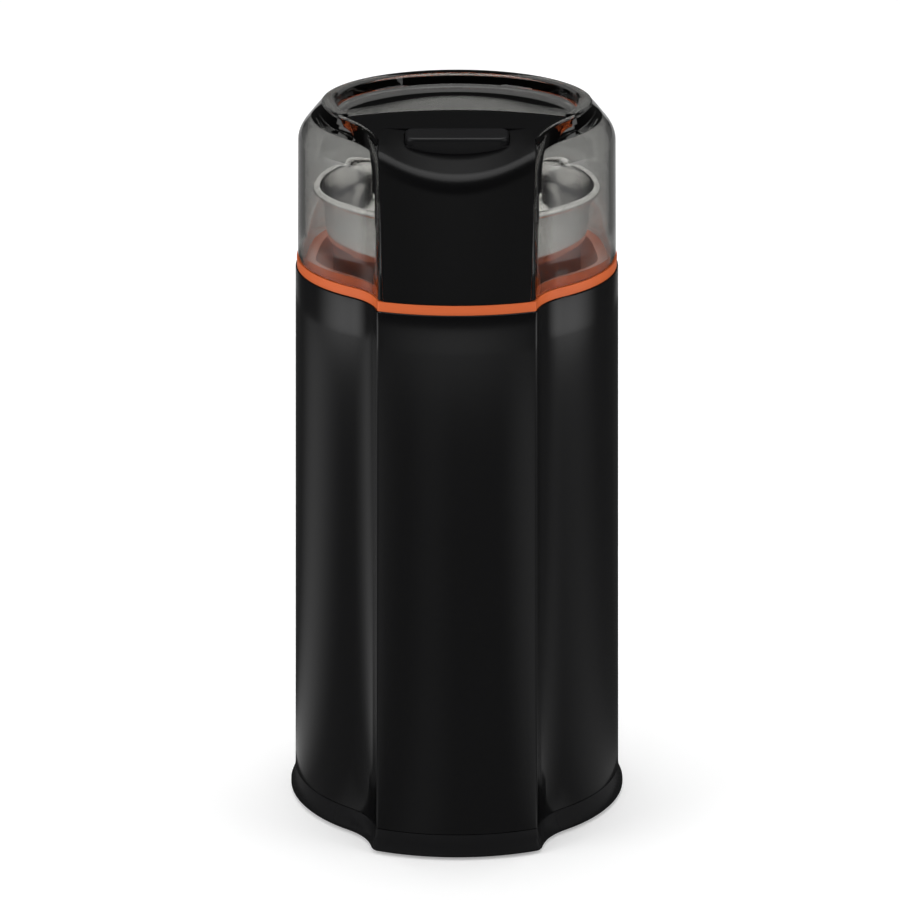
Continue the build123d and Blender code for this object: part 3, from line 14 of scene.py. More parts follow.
import bmesh
import bpy
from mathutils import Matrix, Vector

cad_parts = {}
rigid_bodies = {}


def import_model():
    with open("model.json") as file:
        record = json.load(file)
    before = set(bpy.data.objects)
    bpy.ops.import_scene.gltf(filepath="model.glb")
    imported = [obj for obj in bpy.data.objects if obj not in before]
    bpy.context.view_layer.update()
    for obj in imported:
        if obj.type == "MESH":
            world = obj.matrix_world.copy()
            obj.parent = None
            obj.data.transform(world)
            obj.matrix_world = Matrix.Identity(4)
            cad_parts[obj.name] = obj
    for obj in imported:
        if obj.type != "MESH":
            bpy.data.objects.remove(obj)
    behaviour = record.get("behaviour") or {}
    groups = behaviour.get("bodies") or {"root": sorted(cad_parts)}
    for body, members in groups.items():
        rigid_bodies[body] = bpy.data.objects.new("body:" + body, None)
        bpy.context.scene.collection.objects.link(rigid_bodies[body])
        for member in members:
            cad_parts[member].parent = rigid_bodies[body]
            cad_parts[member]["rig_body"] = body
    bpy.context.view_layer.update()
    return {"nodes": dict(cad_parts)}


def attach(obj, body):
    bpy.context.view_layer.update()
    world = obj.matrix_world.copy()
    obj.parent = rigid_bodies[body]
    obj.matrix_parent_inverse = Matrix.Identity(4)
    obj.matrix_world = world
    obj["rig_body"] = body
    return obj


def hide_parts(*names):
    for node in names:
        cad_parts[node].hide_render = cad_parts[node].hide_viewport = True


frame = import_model()
nodes = frame["nodes"]
MM = 0.001
SAME_PLACE, SLIVER = 0.0005 * MM, 0.0001 * MM
print("pieces in the frame:", len(nodes))

# %% [markdown]
# ## Small helpers for every mesh
#
# The frame's meshes are loose triangles: each triangle has its own three corners, so Blender shades each one
# flat. A copy whose corners are merged shades as one surface. Edges that turn more than a given angle are
# marked sharp, so a rounded wall stays smooth while a corner stays crisp. `dress` then hands the piece to
# the frame: it rides on the body of the node it stands for, and that node isn't shown any more.

# %% Shading and handing over


def mark_sharp(mesh, angle):
    """Shade a mesh smooth, with crisp edges wherever two faces meet at more than the angle, in degrees."""
    work = bmesh.new()
    work.from_mesh(mesh)
    for face in work.faces:
        face.smooth = True
    for edge in work.edges:
        edge.smooth = len(edge.link_faces) == 2 and edge.calc_face_angle() < math.radians(angle)
    work.to_mesh(mesh)
    work.free()


def new_object(name, mesh):
    """An object at the origin that shows this mesh."""
    piece = bpy.data.objects.new(name, mesh)
    bpy.context.scene.collection.objects.link(piece)
    return piece


def merged_copy(name, node, angle=30.0):
    """A copy of a frame node with its triangles joined, shaded smooth up to the angle."""
    source = nodes[node].data
    mesh = bpy.data.meshes.new(name)
    corners = [vertex.co.copy() for vertex in source.vertices]
    mesh.from_pydata(corners, [], [list(face.vertices) for face in source.polygons])
    work = bmesh.new()
    work.from_mesh(mesh)
    bmesh.ops.remove_doubles(work, verts=work.verts, dist=SAME_PLACE)
    bmesh.ops.dissolve_degenerate(work, dist=SLIVER, edges=work.edges)
    work.to_mesh(mesh)
    work.free()
    mark_sharp(mesh, angle)
    return new_object(name, mesh)


def dress(piece, material, node):
    """Give a piece its material and let it stand for a node, on the body that the node rides on."""
    piece.data.materials.clear()
    piece.data.materials.append(material)
    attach(piece, nodes[node]["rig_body"])
    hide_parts(node)
    print(piece.name, len(piece.data.polygons), "faces")


# %% [markdown]
# ## Colours and nodes
#
# Colours are written as sRGB hex values, which is how they are picked on a screen. Cycles works in linear
# light, so one function turns one into the other. A second function adds a node with its settings and links;
# it keeps the trees below short enough to read. A node that is given as an input is linked by its first
# output.

# %% Colour and node helpers


def linear(hex_colour):
    """An sRGB hex value as a linear RGBA colour."""
    channels = [int(hex_colour[i : i + 2], 16) / 255 for i in (1, 3, 5)]
    light = [c / 12.92 if c <= 0.04045 else ((c + 0.055) / 1.055) ** 2.4 for c in channels]
    return (*light, 1.0)


def add_node(tree, kind, settings=None, inputs=None):
    """Add a node, set its properties, and set or link its inputs."""
    node = tree.nodes.new(kind)
    for name, value in (settings or {}).items():
        setattr(node, name, value)
    for socket, value in (inputs or {}).items():
        if isinstance(value, bpy.types.Node):
            value = value.outputs[0]
        if isinstance(value, bpy.types.NodeSocket):
            tree.links.new(value, node.inputs[socket])
        else:
            node.inputs[socket].default_value = value
    return node


def empty_material(name):
    """A material without nodes, and its tree."""
    material = bpy.data.materials.new(name)
    material.use_nodes = True
    material.node_tree.nodes.clear()
    return material, material.node_tree


# %% [markdown]
# ## Finishes
#
# A pattern in a finish has a real size. Object coordinates are in metres, so a noise scale of 1000 divided
# by the size in millimetres gives bumps of that size. Nearly every finish here is built in the same way: two
# close shades keep a large face from looking painted, and fine marks vary its roughness and stand up as a
# slight bump. What differs is where the marks come from, so one function builds the surface and each kind of
# material brings its own.

# %% A surface of two shades and fine marks


def build_surface(tree, patches, marks, shades, roughness, depth, strength, others):
    """Mix two shades by the patches; the marks vary the roughness and stand up by a depth in mm."""
    colour, second = shades
    shade = add_node(
        tree,
        "ShaderNodeMix",
        {"data_type": "RGBA"},
        {0: patches, 6: linear(colour), 7: linear(second)},
    )
    smooth, rough = roughness
    polish = add_node(tree, "ShaderNodeMapRange", inputs={"Value": marks, "To Min": smooth, "To Max": rough})
    relief = add_node(
        tree,
        "ShaderNodeBump",
        inputs={"Height": marks, "Distance": depth * MM, "Strength": strength},
    )
    surface = {"Base Color": shade.outputs[2], "Roughness": polish, "Normal": relief, **others}
    shader = add_node(tree, "ShaderNodeBsdfPrincipled", inputs=surface)
    add_node(tree, "ShaderNodeOutputMaterial", inputs={"Surface": shader})


# %% [markdown]
# Moulded plastic is never quite flat: it has a slow waviness from cooling in the mould and a fine grain from
# the tool. Both are far too shallow to see as shapes, but they break up a reflection the way the real
# surface does. The casing is ABS from a polished tool and mirrors like lacquer. The base, the deck, the
# black front and the button come from duller tools, which makes their highlights wide and soft, and rubber
# has hardly any highlight at all.

# %% Moulded plastics and rubbers


def moulded(name, colour, second, roughness, gloss, grain_mm, grain_depth, wave_mm=25.0):
    """A moulded plastic or rubber: a slow waviness parts its shades and a fine grain marks it."""
    material, tree = empty_material(name)
    place = add_node(tree, "ShaderNodeTexCoord").outputs["Object"]
    wave, grain = (
        add_node(tree, "ShaderNodeTexNoise", inputs={"Vector": place, "Scale": 1000 / size, "Detail": fine})
        for size, fine in ((wave_mm, 2.0), (grain_mm, 3.0))
    )
    spread = (roughness * 0.85, roughness * 1.15)
    plastic = {"IOR": 1.5, "Specular IOR Level": gloss}
    build_surface(tree, wave, grain, (colour, second), spread, grain_depth, 0.5, plastic)
    return material


abs_gloss_black = moulded("abs_gloss_black", "#0b0b0c", "#0d0d0e", 0.14, 0.5, 0.8, 0.006, 30.0)
abs_base_black = moulded("abs_base_black", "#19191a", "#1b1b1c", 0.24, 0.25, 0.8, 0.01)
abs_panel_black = moulded("abs_panel_black", "#09090a", "#0b0b0c", 0.33, 0.25, 0.8, 0.008)
abs_button_black = moulded("abs_button_black", "#161617", "#18181a", 0.38, 0.3, 0.5, 0.01)
abs_inner_black = moulded("abs_inner_black", "#131314", "#18181a", 0.45, 0.35, 0.6, 0.02)
abs_orange = moulded("abs_orange", "#e46c33", "#df6730", 0.35, 0.4, 0.8, 0.008)
nylon_natural = moulded("nylon_natural", "#d9d2c0", "#cfc7b2", 0.5, 0.5, 0.7, 0.02)
nylon_black = moulded("nylon_black", "#1b1b1d", "#242427", 0.5, 0.45, 0.7, 0.02)
nylon_white = moulded("nylon_white", "#d6d6d0", "#c8c8c1", 0.45, 0.5, 0.7, 0.02)
phenolic_black = moulded("phenolic_black", "#1c1917", "#25211e", 0.4, 0.5, 0.4, 0.02)
film_yellow = moulded("film_yellow", "#b98a1f", "#a87a18", 0.35, 0.5, 1.0, 0.02)
nitrile_foot = moulded("nitrile_foot", "#1a1a1b", "#232324", 0.8, 0.3, 0.4, 0.05)
nitrile_mount = moulded("nitrile_mount", "#1d1d1e", "#29292a", 0.75, 0.3, 0.4, 0.05)
pvc_gland = moulded("pvc_gland", "#171718", "#202021", 0.6, 0.4, 0.5, 0.03)
pressed_carbon = moulded("pressed_carbon", "#2a2a2c", "#3c3c3f", 0.55, 0.5, 0.15, 0.02)

# %% [markdown]
# Metal shows how it was worked. Noise that is scaled down along one axis is drawn out along it, as rolling
# draws out the marks of a sheet; scaled up along the shaft, it gives the rings of grinding. Laminations and
# wound wire are thin layers, so theirs is drawn out both ways across. Plating, pressing and sintering leave
# an even grain.

# %% Worked metals


def worked_metal(name, colour, second, roughness, stretch, grain_mm, grain_depth=0.01):
    """A metal whose fine marks are drawn out by the way it was worked."""
    material, tree = empty_material(name)
    place = add_node(tree, "ShaderNodeTexCoord").outputs["Object"]
    drawn = add_node(tree, "ShaderNodeMapping", inputs={"Vector": place, "Scale": stretch})
    marks = add_node(
        tree,
        "ShaderNodeTexNoise",
        inputs={"Vector": drawn, "Scale": 1000 / grain_mm, "Detail": 4.0},
    )
    spread = (roughness * 0.75, roughness * 1.3)
    build_surface(tree, marks, marks, (colour, second), spread, grain_depth, 0.6, {"Metallic": 1.0})
    return material


EVEN, LAYERED = (1.0, 1.0, 1.0), (0.05, 0.05, 2.0)
steel_shaft = worked_metal("ground_steel_shaft", "#b9babc", "#8f9194", 0.22, (1.0, 1.0, 6.0), 0.4)
steel_blade = worked_metal("rolled_steel_blade", "#c3c4c5", "#a5a6a8", 0.25, (0.15, 1.0, 1.0), 0.6)
steel_zinc = worked_metal("zinc_plated_steel", "#c6c8c9", "#a3a6a8", 0.35, EVEN, 0.8)
steel_bracket = worked_metal("pressed_steel_bracket", "#a9abae", "#8a8c90", 0.4, EVEN, 1.5)
steel_laminations = worked_metal("steel_laminations", "#6f7074", "#47484c", 0.5, LAYERED, 1.0, 0.05)
steel_spring = worked_metal("spring_steel_wire", "#a8a9ab", "#7f8184", 0.3, EVEN, 0.3)
copper_wire = worked_metal("enamelled_copper_wire", "#b4683a", "#8a4522", 0.35, (0.1, 0.1, 2.0), 1.2, 0.08)
bronze_bush = worked_metal("sintered_bronze", "#a9793f", "#86592a", 0.5, EVEN, 0.2, 0.03)
brass_holder = worked_metal("rolled_brass", "#c9a650", "#b08f3e", 0.3, (1.0, 0.15, 1.0), 0.6)

# %% [markdown]
# The stainless bowl is polished on a lathe, which leaves fine rings around it. A noise that reads the
# distance from the spindle and the height, and nothing else, is the same all the way around, so its bumps
# are rings. Real ones are too fine to show, so they are drawn half a millimetre wide.

# %% Spun stainless steel, for the bowl


def spun_steel(name, colour, second, roughness, ring_mm):
    """Stainless steel with the fine rings that polishing on a lathe leaves around it."""
    material, tree = empty_material(name)
    place = add_node(tree, "ShaderNodeTexCoord").outputs["Object"]
    x, y, height = add_node(tree, "ShaderNodeSeparateXYZ", inputs={0: place}).outputs
    across = add_node(tree, "ShaderNodeMath", {"operation": "MULTIPLY"}, {0: x, 1: x})
    squares = add_node(tree, "ShaderNodeMath", {"operation": "MULTIPLY_ADD"}, {0: y, 1: y, 2: across})
    radius = add_node(tree, "ShaderNodeMath", {"operation": "SQRT"}, {0: squares})
    section = add_node(tree, "ShaderNodeCombineXYZ", inputs={0: radius, 1: height})
    rings = add_node(
        tree,
        "ShaderNodeTexNoise",
        inputs={"Vector": section, "Scale": 1000 / ring_mm, "Detail": 3.0},
    )
    spread = (roughness * 0.8, roughness * 1.25)
    build_surface(tree, rings, rings, (colour, second), spread, 0.01, 0.5, {"Metallic": 1.0})
    return material


steel_bowl = spun_steel("spun_stainless_steel", "#d0cfcd", "#bdbcba", 0.15, 0.5)

# %% [markdown]
# The lid is SAN, a stiff clear plastic, with a grey dye. Full transmission bends what lies behind it as the
# real wall does, and what comes through one wall is multiplied by the tint. It is polished, and only a trace
# of the waviness that flowing plastic leaves is kept as a bump.

# %% Clear smoke-grey plastic, for the lid


def smoke_clear(name, tint, flow_mm):
    """A polished clear plastic with a grey dye and a slight waviness."""
    material, tree = empty_material(name)
    place = add_node(tree, "ShaderNodeTexCoord").outputs["Object"]
    flow = add_node(
        tree,
        "ShaderNodeTexNoise",
        inputs={"Vector": place, "Scale": 1000 / flow_mm, "Detail": 1.0},
    )
    waves = add_node(
        tree,
        "ShaderNodeBump",
        inputs={"Height": flow, "Distance": 0.01 * MM, "Strength": 0.15},
    )
    clear = {"Base Color": linear(tint), "Roughness": 0.0, "IOR": 1.53, "Transmission Weight": 1.0}
    shader = add_node(tree, "ShaderNodeBsdfPrincipled", inputs={**clear, "Normal": waves})
    add_node(tree, "ShaderNodeOutputMaterial", inputs={"Surface": shader})
    return material


san_smoke = smoke_clear("san_clear_smoke", "#b2b2b0", 18.0)

# %% [markdown]
# ## The plan of the grinder
#
# Seen from above the grinder is a round lobe with a bowed front, and a hollow flute runs up each side
# between them. Four arcs draw half of it: the lobe, the flute, a small corner and the face. The other half
# is its mirror image. Every level of the casing and the lid is this same plan with slightly other radii, so
# the arcs are cut into the same number of steps each time, and any two levels can be joined point by point.

# %% The plan as a loop of points
LOBE_STEPS, FLUTE_STEPS, CORNER_STEPS, FACE_STEPS = 44, 14, 5, 12


def arc(centre, radius, start, end, steps):
    """Points on an arc, without its last one."""
    turns = [start + (end - start) * i / steps for i in range(steps)]
    return [centre + radius * Vector((math.cos(turn), math.sin(turn))) for turn in turns]


def bearing(vector):
    """The angle of a flat vector."""
    return math.atan2(vector.y, vector.x)


class Plan:
    """A round lobe, a hollow flute on each side and a bowed face, in millimetres."""

    def __init__(self, lobe, angle, flute, face, reach, corner):
        self.lobe, self.angle, self.flute = lobe, angle, flute
        self.face, self.reach, self.corner = face, reach, corner

    def inset(self, wall, corner=None):
        """The plan this much further in, with its own corner rounding if one is given."""
        sizes = (self.flute + wall, self.face - wall, self.reach - wall)
        rounding = max(self.corner - wall, 0.3) if corner is None else corner
        return Plan(self.lobe - wall, self.angle, *sizes, rounding)

    def points(self):
        """The loop, counter-clockwise from the middle of the back."""
        turn = math.radians(self.angle)
        leave = Vector((-math.sin(turn), -math.cos(turn)))
        hollow = leave * (self.lobe + self.flute)
        bow = Vector((0.0, self.face - self.reach))
        reach, round_reach = (hollow - bow).length, self.face - self.corner
        ahead = (hollow - bow) / reach
        along = (round_reach**2 - (self.flute + self.corner) ** 2 + reach**2) / (2 * reach)
        aside = math.sqrt(round_reach**2 - along**2)
        corner = bow + ahead * along + Vector((-ahead.y, ahead.x)) * aside
        flute_end = bearing(corner - hollow)
        face_start = bearing(corner - bow)
        half = arc(Vector((0.0, 0.0)), self.lobe, math.pi / 2, 1.5 * math.pi - turn, LOBE_STEPS)
        half += arc(hollow, self.flute, math.pi / 2 - turn, flute_end, FLUTE_STEPS)
        half += arc(corner, self.corner, flute_end - math.pi, face_start, CORNER_STEPS)
        half += arc(bow, self.face, face_start, -math.pi / 2, FACE_STEPS)
        front = [Vector((0.0, -self.reach))]
        return half + front + [Vector((-p.x, p.y)) for p in reversed(half[1:])]


casing_plan = Plan(54.0, 40.0, 25.0, 65.0, 63.2, 1.5)
print("points around the plan:", len(casing_plan.points()))

# %% [markdown]
# ## One Geometry Nodes tree for what is raised about the spindle
#
# Much of a grinder follows one rule: a plan, drawn larger or smaller at each level. A circle for a plan
# gives a turned piece, such as the bowl, and the grinder's own plan gives the casing. The tree makes a grid
# with a column for each point of the plan and a row for each level, and moves each grid point to plan times
# scale, at the level's height. The seam is then merged. The levels are the corners of a second mesh: X is
# the scale, Z the height. With the section walked so that its outside goes up, every face points outwards.
#
# Both trees of this lesson start and end alike, so two functions do that. A tree's inputs are sockets with a
# name and a kind. At its end instances are realised, because an export drops them, and the finish is set.

# %% How a tree starts and ends


def new_tree(name, sockets):
    """A Geometry Nodes tree with named inputs and one output, and its group input node's outputs."""
    tree = bpy.data.node_groups.new(name, "GeometryNodeTree")
    for socket, kind in sockets.items():
        tree.interface.new_socket(socket, in_out="INPUT", socket_type=kind)
    tree.interface.new_socket("Geometry", in_out="OUTPUT", socket_type="NodeSocketGeometry")
    return tree, add_node(tree, "NodeGroupInput").outputs


def end_tree(tree, made, finish):
    """Turn what was made into real geometry, give it its finish and hand it out."""
    realized = add_node(tree, "GeometryNodeRealizeInstances", inputs={0: made})
    finished = add_node(tree, "GeometryNodeSetMaterial", inputs={"Geometry": realized, "Material": finish})
    add_node(tree, "NodeGroupOutput", inputs={0: finished})
    return tree


# %% The raising tree


def raising_tree():
    """Build the node tree that raises a plan through its levels."""
    sockets = {
        "Plan": "NodeSocketGeometry",
        "Levels": "NodeSocketObject",
        "Merge distance": "NodeSocketFloat",
        "Finish": "NodeSocketMaterial",
    }
    tree, given = new_tree("raise_plan", sockets)
    levels = add_node(tree, "GeometryNodeObjectInfo", inputs={"Object": given["Levels"]})
    sources = (given["Plan"], levels.outputs["Geometry"])
    counts = [
        add_node(tree, "GeometryNodeAttributeDomainSize", inputs={0: source}).outputs["Point Count"]
        for source in sources
    ]
    spans = [
        add_node(tree, "ShaderNodeMath", {"operation": "SUBTRACT"}, {0: count, 1: 1.0}) for count in counts
    ]
    sizes = {"Size X": spans[0], "Size Y": spans[1], "Vertices X": counts[0], "Vertices Y": counts[1]}
    grid = add_node(tree, "GeometryNodeMeshGrid", inputs=sizes)
    position = add_node(tree, "GeometryNodeInputPosition")
    where = add_node(tree, "ShaderNodeSeparateXYZ", inputs={0: position})
    picks = []
    for source, span, along in zip(sources, spans, where.outputs):
        place = add_node(tree, "ShaderNodeMath", {"operation": "MULTIPLY_ADD"}, {0: span, 1: 0.5, 2: along})
        index = add_node(tree, "ShaderNodeMath", {"operation": "ROUND"}, {0: place})
        picked = add_node(
            tree,
            "GeometryNodeSampleIndex",
            {"data_type": "FLOAT_VECTOR", "clamp": True},
            {"Geometry": source, "Value": position, "Index": index},
        )
        picks.append(add_node(tree, "ShaderNodeSeparateXYZ", inputs={0: picked}).outputs)
    plan, level = picks
    across, ahead = (
        add_node(tree, "ShaderNodeMath", {"operation": "MULTIPLY"}, {0: plan[axis], 1: level[0]})
        for axis in (0, 1)
    )
    target = add_node(tree, "ShaderNodeCombineXYZ", inputs={0: across, 1: ahead, 2: level[2]})
    moved = add_node(tree, "GeometryNodeSetPosition", inputs={"Geometry": grid, "Position": target})
    merged = add_node(
        tree,
        "GeometryNodeMergeByDistance",
        inputs={"Geometry": moved, "Distance": given["Merge distance"]},
    )
    return end_tree(tree, merged, given["Finish"])


raise_plan = raising_tree()


# %% [markdown]
# A modifier runs the tree on a mesh whose corners are the plan's points. The modifier knows its inputs by
# the identifiers of their sockets, so they are looked up by name. The result is baked: the evaluated mesh
# becomes the piece's own plain mesh, and the modifier goes.

# %% Raise a piece


def points_mesh(name, corners):
    """A mesh of bare corners, given in millimetres."""
    mesh = bpy.data.meshes.new(name)
    mesh.from_pydata([Vector(corner) * MM for corner in corners], [], [])
    return mesh


def bake(piece):
    """Turn what the modifiers make into the piece's own plain mesh."""
    bpy.context.view_layer.update()
    depsgraph = bpy.context.evaluated_depsgraph_get()
    mesh = bpy.data.meshes.new_from_object(piece.evaluated_get(depsgraph))
    piece.modifiers.clear()
    piece.data = mesh
    return piece


def set_inputs(modifier, values):
    """Set a Geometry Nodes modifier's inputs by the names that its tree gives them."""
    sockets = modifier.node_group.interface.items_tree
    for name, value in values.items():
        modifier[sockets[name].identifier] = value


def raised(name, plan, levels, finish, angle=30.0):
    """Raise a plan, in millimetres, through levels of (scale, height in millimetres)."""
    loop = [(p[0], p[1], 0.0) for p in plan]
    piece = new_object(name, points_mesh(name, loop + loop[:1]))
    rungs = new_object(f"{name}_levels", bpy.data.meshes.new(f"{name}_levels"))
    rungs.data.from_pydata([(scale, 0.0, height * MM) for scale, height in levels], [], [])
    modifier = piece.modifiers.new("raise", "NODES")
    modifier.node_group = raise_plan
    set_inputs(modifier, {"Levels": rungs, "Merge distance": 0.001 * MM, "Finish": finish})
    bake(piece)
    bpy.data.objects.remove(rungs)
    mark_sharp(piece.data, angle)
    return piece


def circle(steps):
    """A circle of radius one millimetre, so a level's scale is its radius in millimetres."""
    return [(math.cos(math.tau * i / steps), math.sin(math.tau * i / steps)) for i in range(steps)]


def round_corner(centre, radius, start, end, steps):
    """Points on a rounded corner of a section, both ends included; angles in degrees."""
    turns = [math.radians(start + (end - start) * i / steps) for i in range(steps + 1)]
    return [(centre[0] + radius * math.cos(a), centre[1] + radius * math.sin(a)) for a in turns]


# %% [markdown]
# ## The casing
#
# The real casing is one tall moulding, a little wider at its foot so that it comes out of its mould. The
# outside is raised with the tree: the scale runs from 1.04 at the foot to 1.00 at the top, and the last
# levels draw the plan in slightly for the rounded top edge that catches the light over the orange deck.
# Solidify then gives the skin its wall, inwards, so that the outside keeps its size.

# %% Raise the casing and give it its wall
CASING_FOOT, CASING_TOP, CASING_WALL, CASING_SPREAD = 8.5, 188.3, 2.4, 0.04
TOP_EDGE, FOOT_EDGE = 0.4, 0.2


def casing_scale(height):
    """How much wider than at its top the casing is."""
    return 1 + CASING_SPREAD * (CASING_TOP - height) / (CASING_TOP - CASING_FOOT)


casing_levels = [(casing_scale(CASING_FOOT) - FOOT_EDGE / casing_plan.lobe, CASING_FOOT)]
casing_levels += [(casing_scale(z), z) for z in (8.8, 30, 60, 90, 120, 150, 175, CASING_TOP - TOP_EDGE)]
for turn in (30, 60, 90):
    drawn_in = TOP_EDGE / casing_plan.lobe * (1 - math.cos(math.radians(turn)))
    height = CASING_TOP - TOP_EDGE + TOP_EDGE * math.sin(math.radians(turn))
    casing_levels.append((casing_scale(CASING_TOP) - drawn_in, height))
casing = raised("casing", casing_plan.points(), casing_levels, abs_gloss_black)
wall = casing.modifiers.new("wall", "SOLIDIFY")
wall.thickness = CASING_WALL * MM
wall.offset = -1.0
wall.use_even_offset = True
bake(casing)
print("casing height in mm:", round(casing.dimensions.z / MM, 2))

# %% [markdown]
# The back of the casing has a notch at its foot, which the inlet plate closes once the lead is wired. A
# Boolean modifier cuts it. The ledge for the deck and the screw posts inside are already drawn in the frame,
# so they are taken from there: a copy of the frame's casing is cut down to a core that just touches the
# wall, and what is left are the ledge and the posts, which join the new skin.

# %% Cutting and joining


def rectangle(half, front, back):
    """A rectangle as a loop of points, this wide to each side and between two places on Y."""
    return [(-half, front), (half, front), (half, back), (-half, back)]


def prism(name, loop, low, high):
    """A closed block on a loop of points, between two heights, all in millimetres."""
    count = len(loop)
    corners = [Vector((p[0], p[1], z)) * MM for z in (low, high) for p in loop]
    sides = [(i, (i + 1) % count, count + (i + 1) % count, count + i) for i in range(count)]
    mesh = bpy.data.meshes.new(name)
    mesh.from_pydata(corners, [], [*sides, list(range(count))[::-1], list(range(count, 2 * count))])
    return new_object(name, mesh)


def combine(piece, tool, operation="DIFFERENCE"):
    """Cut a piece with a tool, keep what they share or make them one, and remove the tool."""
    modifier = piece.modifiers.new("combine", "BOOLEAN")
    modifier.operation = operation
    modifier.solver = "EXACT"
    modifier.object = tool
    bake(piece)
    bpy.data.objects.remove(tool)
    return piece


def join(piece, *others):
    """Add the meshes of other pieces to this one."""
    work = bmesh.new()
    work.from_mesh(piece.data)
    for other in others:
        work.from_mesh(other.data)
        bpy.data.objects.remove(other)
    work.to_mesh(piece.data)
    work.free()
    return piece


NOTCH_HALF, NOTCH_FRONT, NOTCH_BACK, NOTCH_RISE, WALL_OVERLAP = 13.0, 30.0, 80.0, 30.0, 0.05
notch_loop = rectangle(NOTCH_HALF, NOTCH_FRONT, NOTCH_BACK)
combine(casing, prism("notch", notch_loop, 0, CASING_FOOT + NOTCH_RISE))
mark_sharp(casing.data, 30)
core_levels = [(0, CASING_FOOT), (casing_scale(CASING_FOOT), CASING_FOOT), (1, CASING_TOP), (0, CASING_TOP)]
core_plan = casing_plan.inset(CASING_WALL - WALL_OVERLAP)
core = raised("core", core_plan.points(), core_levels, abs_gloss_black)
ledge_and_posts = combine(merged_copy("ledge_and_posts", "body_shell"), core, "INTERSECT")
mark_sharp(ledge_and_posts.data, 30)
join(casing, ledge_and_posts)
dress(casing, abs_gloss_black, "body_shell")
dress(merged_copy("inlet", "inlet_plate"), abs_gloss_black, "inlet_plate")

# %% [markdown]
# ## The base and the deck
#
# The base flares out under the casing, and the deck's edge is the orange line around the grinder. Both are
# full of bosses and holes that the frame already has, so merged copies of those nodes are used, and only
# their shading is made smooth.

# %% Base, deck and other merged copies
dress(merged_copy("base", "base_cover", 38), abs_base_black, "base_cover")
dress(merged_copy("deck", "collar_deck", 30), abs_orange, "collar_deck")

# %% [markdown]
# ## The bowl
#
# The bowl is drawn from stainless sheet a millimetre thick and spun: a hub in the middle for the blade's
# bearing, a flat floor, a rounded corner, a cone that turns upright, a slightly wider band and a rolled rim.
# It is a turned piece, so one closed section is enough. The section is walked along the outside, up to the
# rim, and back down along the inside.

# %% The bowl's section
BOWL_FLOOR, BOWL_TOP, BOWL_WALL = 173.0, 216.8, 1.0
RIM_RADIUS, BEAD, BEAD_END, UPRIGHT_RADIUS = 47.75, 1.2, 146.4, 44.1
CONE, CURVE, FLOOR_CURVE = 40.0, 26.0, 6.0
BAND, BAND_STEP = 5.6, 3.0
HUB_BORE, HUB_SHOULDER, HUB_FOOT, HUB_TOP = 6.5, 8.0, 12.0, 181.0
bead_height = BOWL_TOP - BEAD
band_top = bead_height - BEAD / 2
band_foot = band_top - BAND
curve_height = band_foot - BAND_STEP
floor_curve_height = BOWL_FLOOR + FLOOR_CURVE
cone_sin, cone_cos = math.sin(math.radians(CONE)), math.cos(math.radians(CONE))
curve_reach = UPRIGHT_RADIUS - CURVE
cone_shift = CURVE - FLOOR_CURVE + (floor_curve_height - curve_height) * cone_sin
floor_reach = curve_reach + cone_shift / cone_cos


def bowl_side(wall_in):
    """One side of the bowl's wall, from the floor up to the rim."""
    curve, low = CURVE - wall_in, FLOOR_CURVE - wall_in
    side = round_corner((floor_reach, floor_curve_height), low, -90, -CONE, 8)
    side += round_corner((curve_reach, curve_height), curve, -CONE, 0, 16)
    side += [(curve_reach + curve, band_foot), (RIM_RADIUS - BEAD - wall_in, band_top)]
    return side


def hub_side(wall_in):
    """One side of the hub's wall, from the bore out to the floor."""
    top = HUB_TOP + wall_in
    return [(HUB_BORE, top), (HUB_SHOULDER + wall_in, top), (HUB_FOOT + wall_in, BOWL_FLOOR + wall_in)]


bead = round_corner((RIM_RADIUS - BEAD, bead_height), BEAD, -90, BEAD_END, 18)
outside, inside = hub_side(0) + bowl_side(0), hub_side(BOWL_WALL) + bowl_side(BOWL_WALL)
bowl_section = outside + bead + inside[::-1] + outside[:1]
bowl = raised("bowl", circle(160), bowl_section, steel_bowl, 35)
dress(bowl, steel_bowl, "grinding_bowl")

# %% [markdown]
# ## The lid
#
# The lid is one clear moulding: a wall on the grinder's plan, a sloping shoulder, a flat rim and a round
# recess sunk into the top. Clear plastic shows both sides of its wall, so it is built as one closed shell,
# ring by ring: from the middle of the ceiling, down the inside, around the foot, up the outside, over the
# rim and down into the recess. All rings have the same number of points. A round ring takes its points in
# the same directions as the plan's, so that the faces between them stay tidy.

# %% Closed shells


def closed(name, corners, faces):
    """A closed piece on corners in millimetres, with all its faces turned outwards."""
    mesh = bpy.data.meshes.new(name)
    mesh.from_pydata([Vector(corner) * MM for corner in corners], [], faces)
    work = bmesh.new()
    work.from_mesh(mesh)
    bmesh.ops.recalc_face_normals(work, faces=work.faces)
    work.to_mesh(mesh)
    work.free()
    return new_object(name, mesh)


def stack(name, rings, low_pole, high_pole):
    """A closed shell through rings of points, ended by a single point at each end, in millimetres."""
    count = len(rings[0])
    corners = [low_pole, *(point for ring in rings for point in ring), high_pole]
    faces = [(0, 1 + (i + 1) % count, 1 + i) for i in range(count)]
    for level in range(len(rings) - 1):
        low, high = 1 + level * count, 1 + (level + 1) * count
        faces += [(low + i, low + (i + 1) % count, high + (i + 1) % count, high + i) for i in range(count)]
    last, pole = 1 + (len(rings) - 1) * count, len(corners) - 1
    faces += [(last + i, last + (i + 1) % count, pole) for i in range(count)]
    return closed(name, corners, faces)


# %% [markdown]
# Three plans set the lid's form: at its foot, at the neck under the shoulder, and at the crown, where the
# shoulder meets the flat rim. The wall leans in a little from foot to neck, and a soft bend, drawn as a
# parabola, leads over into the shoulder. The inside is the same a wall's thickness further in. Its bend lies
# lower, so that the shoulder is as thick as the wall.

